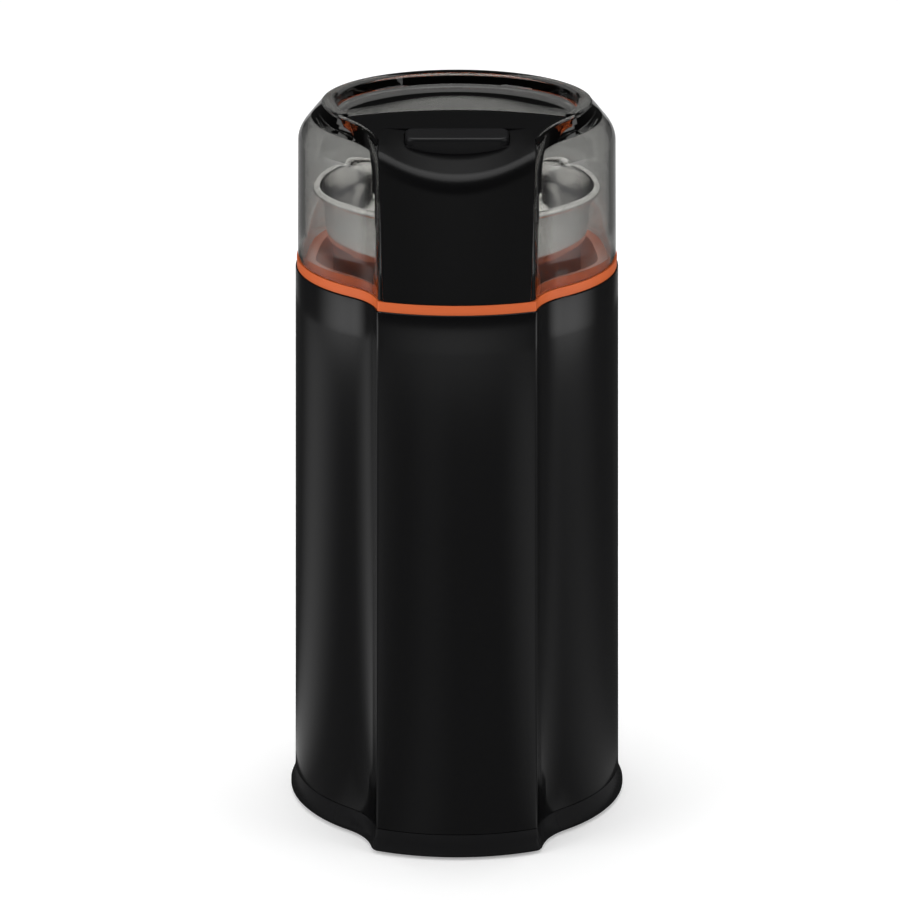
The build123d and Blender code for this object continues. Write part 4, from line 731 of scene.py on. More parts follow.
# %% The rings of one side
LID_FOOT, SHOULDER, LID_TOP, RECESS = 191.7, 234.5, 244.0, 240.0
LID_WALL, RECESS_RADIUS, CEILING, INNER_DROP = 2.2, 40.0, 237.8, 1.0
RIM_EDGE, RECESS_EDGE, RECESS_FILLET = 0.35, 0.4, 0.8
BEND_START, BEND_END, BEND_STEPS = 0.93, 0.35, 8
SLOPE_START, SLOPE = -21.0, math.tan(math.radians(1.9))
foot_plan = casing_plan.inset(0.8, 3.0)
neck_plan = casing_plan.inset(1.4, 3.0)
crown_plan = Plan(44.8, 55.5, 60.0, neck_plan.face, neck_plan.reach, 3.0)


def slope(y):
    """How far the sloping top has risen at y from where its slope starts; below 0 in front of that."""
    return (y - SLOPE_START) * SLOPE


def at_height(loop, height):
    """A flat ring."""
    return [(p[0], p[1], height) for p in loop]


def on_top(loop, below=0.0):
    """A ring on the top, which is flat at the back and slopes down to the front, or this far below it."""
    return [(p[0], p[1], min(LID_TOP, LID_TOP + slope(p[1])) - below) for p in loop]


def around(loop, radius):
    """A round loop whose points lie in the same directions as the loop's."""
    return [(p.normalized().x * radius, p.normalized().y * radius) for p in loop]


def between(low, high, share):
    """Points part of the way from one loop to another."""
    return [a.lerp(b, share) for a, b in zip(low, high)]


def parabola(start, corner, end, t):
    """A point on the soft bend that leaves a start towards a corner and reaches an end from it."""
    return start * (1 - t) ** 2 + corner * 2 * t * (1 - t) + end * t**2


def lid_side(wall_in, crown_height):
    """Rings of one side of the lid's wall, from the foot up to the crown, and the crown's loop."""
    foot, neck, crown = (plan.inset(wall_in).points() for plan in (foot_plan, neck_plan, crown_plan))
    shift = wall_in * math.tan(math.atan2(neck_plan.lobe - crown_plan.lobe, LID_TOP - SHOULDER) / 2)
    corner_z = SHOULDER - shift
    rise, climb = corner_z - LID_FOOT, crown_height - corner_z
    rings = [at_height(foot, LID_FOOT)]
    for t in (0.25, 0.5, 0.75, BEND_START):
        rings.append(at_height(between(foot, neck, t), LID_FOOT + rise * t))
    start, end = between(foot, neck, BEND_START), between(neck, crown, BEND_END)
    start_z, end_z = LID_FOOT + rise * BEND_START, corner_z + climb * BEND_END
    for step in range(1, BEND_STEPS):
        t = step / BEND_STEPS
        bend = [parabola(s, n, e, t) for s, n, e in zip(start, neck, end)]
        rings.append(at_height(bend, parabola(start_z, corner_z, end_z, t)))
    rings += [at_height(between(neck, crown, t), corner_z + climb * t) for t in (BEND_END, 0.7)]
    return rings, crown


# %% [markdown]
# The rings are put in order. On top they follow the slope that falls to the front. The rim turns over a
# small edge into the recess, whose wall ends in a fillet at the recess's floor. The rings of the inside stop
# where the flat ceiling closes it.

# %% The lid's shell
outer, crown = lid_side(0.0, LID_TOP)
inner, inner_crown = lid_side(LID_WALL, LID_TOP - INNER_DROP)
inner = [ring for ring in inner if ring[0][2] < CEILING - 0.3]
ceiling_share = (CEILING - SHOULDER + INNER_DROP) / (LID_TOP - SHOULDER)
ceiling = between(neck_plan.inset(LID_WALL).points(), inner_crown, ceiling_share)
edge_in = [p * (1 - RIM_EDGE / p.length) for p in crown]
rim = [
    on_top(crown, RIM_EDGE),
    on_top(between(crown, edge_in, 0.3), 0.1),
    on_top(edge_in),
    on_top(around(crown, RECESS_RADIUS + RECESS_EDGE)),
    on_top(around(crown, RECESS_RADIUS + 0.12), 0.12),
    on_top(around(crown, RECESS_RADIUS), RECESS_EDGE),
]
recess = [
    at_height(around(crown, radius), height)
    for radius, height in (
        (RECESS_RADIUS, RECESS + RECESS_FILLET),
        (RECESS_RADIUS - 0.25, RECESS + 0.2),
        (RECESS_RADIUS - RECESS_FILLET, RECESS),
        (RECESS_RADIUS / 2, RECESS),
    )
]
shell = [at_height(around(ceiling, RECESS_RADIUS / 2), CEILING), at_height(ceiling, CEILING)]
shell += inner[::-1] + outer + rim + recess
lid = stack("lid", shell, (0, 0, CEILING), (0, 0, RECESS))
print("rings in the lid:", len(shell))

# %% [markdown]
# The black front fills the space between the lid's two flanges. That space is cut out of the clear shell
# with three tools: a tapered block for the window, and two blocks on the black piece's own plan, bowed at
# the back, which leave a narrow seat for it to rest on. No moulded edge is as sharp as a cut one, and in
# clear plastic only a broken edge catches the light, so a Bevel modifier takes 0.3 millimetres off every
# sharp edge of the lid.

# %% Cut the window and the seat of the black front
BOW_RADIUS, BOW_CENTRE, PANEL_GAP, SEAT, SEAT_FOOT = 83.0, -93.6, 0.1, 2.5, 225.0
FLANGE_FOOT, FLANGE_HEAD, FOOT_HALF, HEAD_HALF = 186.7, 249.0, 23.6, 25.3
WINDOW_BACK, WINDOW_FRONT = -45.0, -110.0
# where the other cutting tools end, well outside the piece
TOOL_LOW, TOOL_HIGH, TOOL_HALF, TOOL_FRONT = 200.0, 260.0, 60, -90
panel_plan = Plan(42.9, 55.5, 61.9, 64.5, 62.7, 1.0)


def front_half(z):
    """Half the width of the black front at a height."""
    return FOOT_HALF + (HEAD_HALF - FOOT_HALF) * (z - FLANGE_FOOT) / (FLANGE_HEAD - FLANGE_FOOT)


def bowed_block(name, gap, radius, low, high):
    """A block on the black front's plan, bowed at the back."""
    block = prism(name, panel_plan.inset(-gap).points(), low, high)
    bow = prism("bow", [(radius * x, radius * y + BOW_CENTRE) for x, y in circle(192)], low - 1, high + 1)
    return combine(block, bow, "INTERSECT")


window_corners = []
for y in (WINDOW_BACK, WINDOW_FRONT):
    for z in (FLANGE_FOOT, FLANGE_HEAD):
        half = front_half(z) + PANEL_GAP
        window_corners += [(-half, y, z), (half, y, z)]
window_faces = [(0, 1, 3, 2), (4, 6, 7, 5), (0, 4, 5, 1), (2, 3, 7, 6), (0, 2, 6, 4), (1, 5, 7, 3)]
combine(lid, bowed_block("top_space", PANEL_GAP, BOW_RADIUS, RECESS, LID_TOP + 5))
combine(lid, bowed_block("seat_space", PANEL_GAP, BOW_RADIUS - SEAT, SEAT_FOOT, LID_TOP + 5))
combine(lid, closed("window", window_corners, window_faces))
edges = lid.modifiers.new("edges", "BEVEL")
edges.width = 0.3 * MM
edges.segments = 2
edges.limit_method = "ANGLE"
edges.angle_limit = math.radians(50)
bake(lid)
mark_sharp(lid.data, 32)
dress(lid, san_smoke, "lid_shell")

# %% [markdown]
# ## The black front
#
# The black front is one moulding that runs from the bowed edge on top, over the button, down a finger scoop
# and then down the face. Its surface is drawn as rows of points: each row crosses the piece, and each column
# walks from the back of the top to the foot. The top ends in a brow, a long quarter of an ellipse that falls
# towards the face. The scoop in front of the button is a wide, gently sloping trough. Wherever it is lower
# than the brow it cuts into it, and the edge between them is blended, as a finger has to slide over it. Then
# a short bend turns down into the face. Solidify gives this skin its wall.

# %% The outside of the black front
LIP_HEIGHT, LIP_REACH, SCOOP_RADIUS, SCOOP_FALL, SCOOP_BLEND = 237.1, 45.3, 60.0, 15.0, 3.0
BROW_REACH, BROW_LENGTH, BROW_DROP = 46.5, 16.8, 10.4
FACE_ROUND, FRONT_START, FRONT_WALL = 5.0, -33.0, 2.2
COLUMNS, TOP_ROWS, ROUND_ROWS = 40, 40, 10
BLACK_TOP = LID_TOP - 1.0
TOP_HALF = front_half(241.0)


def blended(a, b, width):
    """The lower of two heights, with the edge between them rounded off over a width."""
    near = max(width - abs(a - b), 0.0) / width
    return min(a, b) - near * near * width / 4


def face_reach(x):
    """How far forward the bowed face is at x."""
    return panel_plan.reach - panel_plan.face + math.sqrt(panel_plan.face**2 - x * x)


def front_height(x, y):
    """The height of the black top at a place: the brow, or the scoop where that is lower."""
    along = min(max(-y - BROW_REACH, 0.0) / BROW_LENGTH, 1.0)
    brow = BLACK_TOP + slope(y) - BROW_DROP * (1 - math.sqrt(1 - along**2))
    lift = SCOOP_RADIUS - math.sqrt(SCOOP_RADIUS**2 - x**2)
    fall = math.radians(SCOOP_FALL)
    scoop = LIP_HEIGHT + math.tan(fall) * (y + LIP_REACH) + lift / math.cos(fall)
    return blended(brow, scoop, SCOOP_BLEND)


def column_line(share):
    """The line that one column follows, from where the front part starts on top down to the foot."""
    x = share * TOP_HALF
    reach = face_reach(x)
    bend_reach = reach - FACE_ROUND
    line = []
    for row in range(TOP_ROWS + 1):
        y = FRONT_START + (-bend_reach - FRONT_START) * row / TOP_ROWS
        line.append((x, y, front_height(x, y)))
    top, corner = front_height(x, -bend_reach), front_height(x, -reach)
    low = corner - FACE_ROUND
    for row in range(1, ROUND_ROWS + 1):
        t = row / ROUND_ROWS
        z = parabola(top, corner, low, t)
        line.append((share * front_half(z), -parabola(bend_reach, reach, reach, t), z))
    for t in (0.04, 0.12, 0.25, 0.5, 0.75, 1.0):
        z = low + (LID_FOOT - low) * t
        x = share * front_half(z)
        line.append((x, -face_reach(x), z))
    return line


# %% The skin of the black front and its wall
lines = [column_line(-1 + 2 * i / COLUMNS) for i in range(COLUMNS + 1)]
rows = len(lines[0])
skin_faces = []
for i in range(COLUMNS):
    for j in range(rows - 1):
        here, beside = i * rows + j, (i + 1) * rows + j
        skin_faces.append((here, here + 1, beside + 1, beside))
skin = bpy.data.meshes.new("front_skin")
skin.from_pydata([Vector(point) * MM for line in lines for point in line], [], skin_faces)
front = new_object("front", skin)
front_wall = front.modifiers.new("wall", "SOLIDIFY")
front_wall.thickness = FRONT_WALL * MM
front_wall.offset = -1.0
bake(front)
print("columns and rows of the black front:", len(lines), rows)

# %% [markdown]
# The top plate behind it is a flat slab on the bowed plan. Its top is cut to the lid's slope, what the front
# part already covers is cut away, and the button's pocket is cut through both.

# %% The top plate and the pocket
POCKET_HALF, POCKET_FRONT, POCKET_BACK, POCKET_CORNER, POCKET_FOOT = 17.1, 45.3, 32.9, 3.5, 225.0


def rounded_box_loop(half, front_y, back_y, radius, steps=6):
    """A rectangle with rounded corners, as a loop of points."""
    loop = []
    for cx, cy, start in (
        (half - radius, -back_y - radius, 0),
        (-half + radius, -back_y - radius, 90),
        (-half + radius, -front_y + radius, 180),
        (half - radius, -front_y + radius, 270),
    ):
        loop += round_corner((cx, cy), radius, start, start + 90, steps)
    return loop


plate = bowed_block("plate", 0.0, BOW_RADIUS - PANEL_GAP, RECESS, LID_TOP + 2)
slope_cut = prism("slope_cut", rectangle(TOOL_HALF, TOOL_FRONT, 10), BLACK_TOP, TOOL_HIGH)
for corner in slope_cut.data.vertices:
    if corner.co.z < (BLACK_TOP + 1) * MM:
        corner.co.z += slope(corner.co.y / MM) * MM
combine(plate, slope_cut)
right = [(TOOL_HALF, TOOL_FRONT), (TOOL_HALF, -LIP_REACH), (TOP_HALF, -LIP_REACH), (TOP_HALF, FRONT_START)]
left = [(-x, y) for x, y in reversed(right)]
combine(plate, prism("in_front", left[-1:] + right + left[:-1], TOOL_LOW, TOOL_HIGH))
pocket_loop = rounded_box_loop(POCKET_HALF, POCKET_FRONT, POCKET_BACK, POCKET_CORNER)
for part in (plate, front):
    combine(part, prism("pocket", pocket_loop, POCKET_FOOT, TOOL_HIGH))
    mark_sharp(part.data, 35)
join(front, plate)
dress(front, abs_panel_black, "lid_front_panel")

# %% [markdown]
# ## The button
#
# The button is a rounded cap whose top falls a little towards the front. Rings again: the outline of the cap
# goes up, draws in over a quarter round, and closes over the top. Its arm reaches forward under the black
# front and carries the rod that works the switch. The frame has the arm already, so a copy of it is kept up
# to just under the cap's top, and a Boolean union makes the two one solid without faces inside.

# %% The button's cap
BUTTON_HALF, BUTTON_FRONT, BUTTON_BACK, BUTTON_CORNER = 16.8, 45.0, 33.2, 3.2
BUTTON_FOOT, BUTTON_TOP, BUTTON_EDGE, BUTTON_FALL = 234.0, 242.99, 1.0, math.tan(math.radians(4.0))
FOOT_INSET, TOP_INSET, ARM_KEPT = 2.2, 2.0, 239.75


def button_top(y):
    """The height of the cap's sloping top."""
    return BUTTON_TOP + (y + BUTTON_BACK) * BUTTON_FALL


def button_ring(inset, depth=None):
    """A ring of the cap, drawn in: this far below its sloping top or, without a depth, on its foot."""
    sides = (BUTTON_HALF - inset, BUTTON_FRONT - inset, BUTTON_BACK + inset, BUTTON_CORNER - inset)
    loop = rounded_box_loop(*sides, 8)
    return [(x, y, BUTTON_FOOT if depth is None else button_top(y) - depth) for x, y in loop]


cap_rings = [button_ring(FOOT_INSET), button_ring(0.0), button_ring(0.0, BUTTON_EDGE)]
for turn in (22.5, 45, 67.5, 90):
    bend = math.radians(turn)
    cap_rings.append(button_ring(BUTTON_EDGE * (1 - math.cos(bend)), BUTTON_EDGE * (1 - math.sin(bend))))
cap_rings.append(button_ring(TOP_INSET, 0.0))
cap_middle = -(BUTTON_FRONT + BUTTON_BACK) / 2
cap = stack("button", cap_rings, (0, cap_middle, BUTTON_FOOT), (0, cap_middle, button_top(cap_middle)))
mark_sharp(cap.data, 35)
arm = merged_copy("button_arm", "push_button")
combine(arm, prism("keep_low", rectangle(40, -80, 0), TOOL_LOW, ARM_KEPT), "INTERSECT")
combine(cap, arm, "UNION")
mark_sharp(cap.data, 30)
dress(cap, abs_button_black, "push_button")

# %% [markdown]
# ## Screws and fan blades, placed by a second tree
#
# Seventeen screws hold the grinder together, and its fan has eleven blades. One copy of each is made, and a
# Geometry Nodes tree sets it on points. A point carries a turn, so the same tree stands a screw along any
# axis and sets a blade around the spindle. Screws also spin about their own axis by a random angle from a
# fixed seed, because no screwdriver stops twice at the same place. The places are read from the frame, one
# for each loose part of a node.

# %% The placing tree


def placing_tree():
    """Build the node tree that sets copies on points."""
    sockets = {
        "Places": "NodeSocketGeometry",
        "Copy": "NodeSocketObject",
        "Largest spin": "NodeSocketFloat",
        "Seed": "NodeSocketInt",
        "Finish": "NodeSocketMaterial",
    }
    tree, given = new_tree("place_copies", sockets)
    copy = add_node(tree, "GeometryNodeObjectInfo", inputs={"Object": given["Copy"]}).outputs["Geometry"]
    turn = add_node(tree, "GeometryNodeInputNamedAttribute", {"data_type": "FLOAT_VECTOR"}, {"Name": "turn"})
    where = {"Points": given["Places"], "Instance": copy, "Rotation": turn.outputs["Attribute"]}
    standing = add_node(tree, "GeometryNodeInstanceOnPoints", inputs=where)
    # the sockets of Random Value share their names, so they go by number: 3 is the largest float, 8 the seed
    spin = add_node(
        tree,
        "FunctionNodeRandomValue",
        {"data_type": "FLOAT"},
        {3: given["Largest spin"], 8: given["Seed"]},
    )
    about = add_node(tree, "ShaderNodeCombineXYZ", inputs={2: spin.outputs[1]})
    spun = add_node(
        tree,
        "GeometryNodeRotateInstances",
        inputs={"Instances": standing, "Rotation": about, "Local Space": True},
    )
    return end_tree(tree, spun, given["Finish"])


place_copies = placing_tree()


def placed(name, copy, places, finish, spin=0.0, seed=1):
    """Set a copy at places, each a position in metres with a turn in radians, and remove the original."""
    mesh = bpy.data.meshes.new(name)
    mesh.from_pydata([place for place, turn in places], [], [])
    turns = mesh.attributes.new("turn", "FLOAT_VECTOR", "POINT")
    turns.data.foreach_set("vector", [angle for place, turn in places for angle in turn])
    piece = new_object(name, mesh)
    modifier = piece.modifiers.new("place", "NODES")
    modifier.node_group = place_copies
    set_inputs(modifier, {"Copy": copy, "Largest spin": spin, "Seed": seed, "Finish": finish})
    bake(piece)
    bpy.data.objects.remove(copy)
    return piece


# %% [markdown]
# A screw for plastic is a turned piece but for its cross recess, so its section is raised on a circle and
# the cross is cut into its head.

# %% One screw
SCREW_RADIUS, THREAD_DEPTH, THREAD_PITCH = 1.5, 0.32, 1.1
HEAD_RADIUS, HEAD_HEIGHT, HEAD_ROUND, NECK = 2.9, 2.2, 1.1, 0.6
POINT, POINT_ROOM, POINT_RADIUS = 0.6, 0.8, 0.5
RECESS_HALF, RECESS_SLOT, RECESS_DEPTH = 1.55, 0.32, 1.3


def screw(length):
    """A pan-head screw with a cross recess that stands on its head, this long in all, in millimetres."""
    section = [(0.0, 0.0)]
    section += round_corner((HEAD_RADIUS - HEAD_ROUND, HEAD_ROUND), HEAD_ROUND, -90, 0, 6)
    section += [(HEAD_RADIUS, HEAD_HEIGHT), (SCREW_RADIUS, HEAD_HEIGHT)]
    height = HEAD_HEIGHT + NECK
    # a fine thread looks the same whether it climbs or is drawn as rings
    while height + THREAD_PITCH < length - POINT_ROOM:
        for radius, share in ((-THREAD_DEPTH, 0.0), (0.0, 0.4), (0.0, 0.55), (-THREAD_DEPTH, 0.95)):
            section.append((SCREW_RADIUS + radius, height + share * THREAD_PITCH))
        height += THREAD_PITCH
    section += [(SCREW_RADIUS - THREAD_DEPTH, length - POINT), (POINT_RADIUS, length), (0.0, length)]
    one = raised("screw", circle(28), section, steel_zinc, 40)
    arm = [(RECESS_HALF, -RECESS_SLOT), (RECESS_HALF, RECESS_SLOT), (RECESS_SLOT, RECESS_SLOT)]
    cross = []
    for _ in range(4):
        cross += arm
        arm = [(-y, x) for x, y in arm]
    combine(one, prism("cross", cross, -1.0, RECESS_DEPTH))
    mark_sharp(one.data, 40)
    return one


# %% [markdown]
# The frame has one mesh for each group of screws, and the loose parts of that mesh are the screws. The box
# around a part gives its middle, its axis and its length, and the end that is wider is the head.

# %% The places of the screws


def part_middle(part):
    """The middle of the box around some corners."""
    return Vector([(min(values) + max(values)) / 2 for values in zip(*part)])


def loose_parts(node):
    """The corners of each loose part of a frame node."""
    merged = merged_copy("parts", node)
    work = bmesh.new()
    work.from_mesh(merged.data)
    bpy.data.objects.remove(merged)
    waiting, parts = set(work.verts), []
    while waiting:
        edge_of_part, part = [waiting.pop()], []
        while edge_of_part:
            corner = edge_of_part.pop()
            part.append(corner.co.copy())
            for side in corner.link_edges:
                other = side.other_vert(corner)
                if other in waiting:
                    waiting.remove(other)
                    edge_of_part.append(other)
        parts.append(part)
    work.free()
    return sorted(parts, key=lambda part: tuple(round(value, 4) for value in part_middle(part)))


def screw_place(part):
    """The middle of the head's face, the turn from +Z to the way the screw points, and its length in mm."""
    spans = [(min(values), max(values)) for values in zip(*part)]
    along = max(range(3), key=lambda i: spans[i][1] - spans[i][0])
    low, high = spans[along]
    middle = part_middle(part)
    reach = [0.0, 0.0]
    for corner in part:
        away = corner - middle
        away[along] = 0.0
        for end, limit in enumerate((low, high)):
            if abs(corner[along] - limit) < 0.3 * (high - low):
                reach[end] = max(reach[end], away.length)
    head_low = reach[0] > reach[1]
    start = middle.copy()
    start[along] = low if head_low else high
    way = Vector((0.0, 0.0, 0.0))
    way[along] = 1.0 if head_low else -1.0
    return start, tuple(way.to_track_quat("Z", "Y").to_euler()), round((high - low) / MM, 2)


# %% Set the screws
for seed, node in enumerate(("base_screws", "deck_screws", "switch_screws", "mount_screws", "panel_screws")):
    measured = [screw_place(part) for part in loose_parts(node)]
    groups = []
    for length in sorted({place[2] for place in measured}):
        places = [place[:2] for place in measured if place[2] == length]
        groups.append(placed(f"{node}_{length}", screw(length), places, steel_zinc, math.pi / 2, seed))
    screws = join(*groups)
    screws.name = f"{node}_threaded"
    print(node, "lengths in mm:", sorted({place[2] for place in measured}))
    dress(screws, steel_zinc, node)

# %% [markdown]
# The fan blows air through the motor. It is moulded in one: a hub, a disc, and blades that curve back from
# the way it turns. One blade is drawn as a curved strip about its middle line, and the tree sets it around
# the spindle.

# %% The fan
FAN_RADIUS, FAN_LOW, FAN_DISC_LOW, FAN_HIGH, FAN_BLADES = 26.0, 58.6, 67.6, 69.1, 11
FAN_BORE, FAN_HUB, BLADE_THICKNESS, BLADE_SWEEP, BLADE_STEPS = 3.52, 6.5, 1.2, 26.0, 10
LOW_CHAMFER, HIGH_CHAMFER = 0.2, 0.3


def fan_blade():
    """One blade, a strip that bends back more and more towards its tip."""
    middle_line = []
    for step in range(BLADE_STEPS + 1):
        share = step / BLADE_STEPS
        radius = FAN_HUB - 0.5 + (FAN_RADIUS - FAN_HUB + 0.2) * share
        bend = math.radians(-BLADE_SWEEP * share * share)
        middle_line.append(Vector((radius * math.cos(bend), radius * math.sin(bend))))
    left, right = [], []
    for step, point in enumerate(middle_line):
        before, after = middle_line[max(step - 1, 0)], middle_line[min(step + 1, BLADE_STEPS)]
        way = (after - before).normalized() * BLADE_THICKNESS / 2
        left.append(point + Vector((-way.y, way.x)))
        right.append(point - Vector((-way.y, way.x)))
    return prism("fan_blade", right + left[::-1], FAN_LOW, FAN_DISC_LOW + 0.3)


fan_section = [
    (FAN_BORE, FAN_LOW),
    (FAN_HUB, FAN_LOW),
    (FAN_HUB, FAN_DISC_LOW),
    (FAN_RADIUS - LOW_CHAMFER, FAN_DISC_LOW),
    (FAN_RADIUS, FAN_DISC_LOW + LOW_CHAMFER),
    (FAN_RADIUS, FAN_HIGH - HIGH_CHAMFER),
    (FAN_RADIUS - HIGH_CHAMFER, FAN_HIGH),
    (FAN_BORE, FAN_HIGH),
    (FAN_BORE, FAN_LOW),
]
fan = raised("fan", circle(96), fan_section, nylon_natural)
blade_turns = [((0, 0, 0), (0, 0, math.tau * i / FAN_BLADES)) for i in range(FAN_BLADES)]
blades = placed("fan_blades", fan_blade(), blade_turns, nylon_natural)
mark_sharp(blades.data, 30)
join(fan, blades)
dress(fan, nylon_natural, "cooling_fan")

# %% [markdown]
# ## What stays as the frame has it
#
# The pieces inside are drawn by the frame already. Each gets a merged copy with smooth shading and the
# finish of what it is made from. The springs stay as they are, because they flatten when the button goes
# down.

# %% Finishes for the rest
FINISHES = {
    "anti_slip_ring": (nitrile_foot, "foot_rubber"),
    "cord_gland": (pvc_gland, "gland_rubber"),
    "terminal_block": (nylon_white, "block_nylon"),
    "suppressor_capacitor": (film_yellow, "capacitor_film"),
    "micro_switch": (phenolic_black, "switch_phenolic"),
    "switch_terminals": (brass_holder, "brush_brass"),
    "switch_plunger": (abs_inner_black, "inner_black"),
    "switch_pin": (abs_inner_black, "inner_black"),
    "upper_bracket": (steel_bracket, "bracket_steel"),
    "upper_bearing": (bronze_bush, "bronze"),
    "lower_bracket": (abs_inner_black, "inner_black"),
    "lower_bearing": (bronze_bush, "bronze"),
    "motor_bolts": (steel_zinc, "zinc_steel"),
    "rubber_mounts": (nitrile_mount, "mount_rubber"),
    "stator_core": (steel_laminations, "lamination_steel"),
    "field_coils": (copper_wire, "copper"),
    "brush_holders": (brass_holder, "brush_brass"),
    "carbon_brushes": (pressed_carbon, "carbon"),
    "brush_springs": (steel_spring, "spring_steel"),
    "motor_shaft": (steel_shaft, "shaft_steel"),
    "rotor_core": (steel_laminations, "lamination_steel"),
    "rotor_windings": (copper_wire, "copper"),
    "commutator": (copper_wire, "copper"),
    "drive_coupler": (nylon_black, "coupler_nylon"),
    "bowl_foot": (abs_inner_black, "inner_black"),
    "blade_bush": (bronze_bush, "bronze"),
    "blade_shaft": (steel_shaft, "shaft_steel"),
    "driven_coupler": (nylon_black, "coupler_nylon"),
    "thrust_washers": (steel_shaft, "shaft_steel"),
    "blade": (steel_blade, "blade_steel"),
    "blade_nut": (steel_blade, "blade_steel"),
    "button_housing": (abs_inner_black, "inner_black"),
    "actuator_rod": (abs_inner_black, "inner_black"),
}
for node, (material, finish) in FINISHES.items():
    dress(merged_copy(f"{node}_smooth", node), material, node)

for node in ("button_springs", "plunger_spring"):
    nodes[node].data.materials.clear()
    nodes[node].data.materials.append(steel_spring)

# %% [markdown]
# ## Floor, light and camera
#
# Black plastic and clear plastic have hardly any colour of their own: what one sees is the room, mirrored or
# bent. A studio stands such a piece on white in a dark room, lights it with soft boxes and lays cards where
# its walls mirror them. Here the floor and the world are white to the eye, also straight through the clear
# lid, and dark to mirrored rays, which gives the lid its dark outlines. What lies behind the lid is lit
# through it, where the smoke tint takes its share a second time, so the light that reaches it is stronger.
# The Light Path node tells these rays apart, and one function does so for the floor and for the world.

# %% What kind of ray is looking
scene = bpy.context.scene
MIRRORED_ROOM, ROOM_IN_WALL = 0.02, 0.2
# extra light on steel and on plastic behind the lid
STEEL_UNDER_LID, PLASTIC_UNDER_LID = 2.5, 3.0


def ray_kinds(tree):
    """Sort the rays that meet the floor or the room.

    Seen: 1 by the eye, in gloss or through glass. Mirrored: 1 in gloss that isn't under the lid. Dim: how
    bright a mirrored place is, which is more inside the lid's wall. Extra: light for what is under the lid.
    """
    path = add_node(tree, "ShaderNodeLightPath").outputs
    eye, glass, gloss = (path[f"Is {kind} Ray"] for kind in ("Camera", "Transmission", "Glossy"))
    seen = add_node(tree, "ShaderNodeMath", {"operation": "ADD"}, {0: eye, 1: glass})
    seen = add_node(tree, "ShaderNodeMath", {"operation": "MAXIMUM"}, {0: seen, 1: gloss})
    # a ray is in the lid's wall once it has passed one surface, and under the lid or out again after three
    under_lid, in_wall, glossy, diffuse = (
        add_node(tree, "ShaderNodeMath", {"operation": "GREATER_THAN"}, {0: path[f"{kind} Depth"], 1: limit})
        for kind, limit in (("Transmission", 2.5), ("Transmission", 0.5), ("Glossy", 0.5), ("Diffuse", 0.5))
    )
    outside = add_node(tree, "ShaderNodeMath", {"operation": "SUBTRACT"}, {0: 1.0, 1: under_lid})
    mirrored = add_node(tree, "ShaderNodeMath", {"operation": "MULTIPLY"}, {0: glossy, 1: outside})
    in_gloss = {0: in_wall, 1: ROOM_IN_WALL, 2: MIRRORED_ROOM}
    dim = add_node(tree, "ShaderNodeMath", {"operation": "MULTIPLY_ADD"}, in_gloss)
    steel = add_node(tree, "ShaderNodeMath", {"operation": "MULTIPLY"}, {0: glossy, 1: STEEL_UNDER_LID})
    on_both = {0: diffuse, 1: PLASTIC_UNDER_LID, 2: steel}
    both = add_node(tree, "ShaderNodeMath", {"operation": "MULTIPLY_ADD"}, on_both)
    extra = add_node(tree, "ShaderNodeMath", {"operation": "MULTIPLY"}, {0: under_lid, 1: both})
    return seen, mirrored, dim, extra


# %% The floor
PAPER_GLOW, MIDDLE_SHARE, REAR_SHARE = 0.3, 0.38, -0.42
floor_mesh = bpy.data.meshes.new("floor")
floor_mesh.from_pydata([(-4, -4, 0), (4, -4, 0), (4, 4, 0), (-4, 4, 0)], [], [(0, 1, 2, 3)])
floor = new_object("floor", floor_mesh)
floor_material, tree = empty_material("white_paper_floor")
seen, mirrored, dim, extra = ray_kinds(tree)
# behind the lid the front half of the floor shines more than the rear half, which models the bowl's wall
place = add_node(tree, "ShaderNodeTexCoord").outputs["Object"]
towards = add_node(tree, "ShaderNodeVectorMath", {"operation": "NORMALIZE"}, {0: place})
rear = add_node(tree, "ShaderNodeSeparateXYZ", inputs={0: towards}).outputs[1]
by_side = {0: rear, 1: REAR_SHARE, 2: MIDDLE_SHARE}
front_share = add_node(tree, "ShaderNodeMath", {"operation": "MULTIPLY_ADD"}, by_side)
extra = add_node(tree, "ShaderNodeMath", {"operation": "MULTIPLY"}, {0: extra, 1: front_share})
lifted = {0: seen, 1: PAPER_GLOW, 2: extra}
extra = add_node(tree, "ShaderNodeMath", {"operation": "MULTIPLY_ADD"}, lifted)
paper = add_node(tree, "ShaderNodeBsdfDiffuse", inputs={"Color": linear("#f4f4f4")})
glow = add_node(tree, "ShaderNodeEmission", inputs={"Strength": extra})
lit = add_node(tree, "ShaderNodeAddShader", inputs={0: paper, 1: glow})
dark = add_node(tree, "ShaderNodeEmission", inputs={"Strength": dim})
shown = add_node(tree, "ShaderNodeMixShader", inputs={0: mirrored, 1: lit, 2: dark})
add_node(tree, "ShaderNodeOutputMaterial", inputs={"Surface": shown})
floor.data.materials.append(floor_material)

# %% The room
ROOM_LIGHT, WHITE = 0.56, linear("#ffffff")
world = bpy.data.worlds.new("studio")
scene.world = world
world.use_nodes = True
tree = world.node_tree
tree.nodes.clear()
seen, mirrored, dim, extra = ray_kinds(tree)
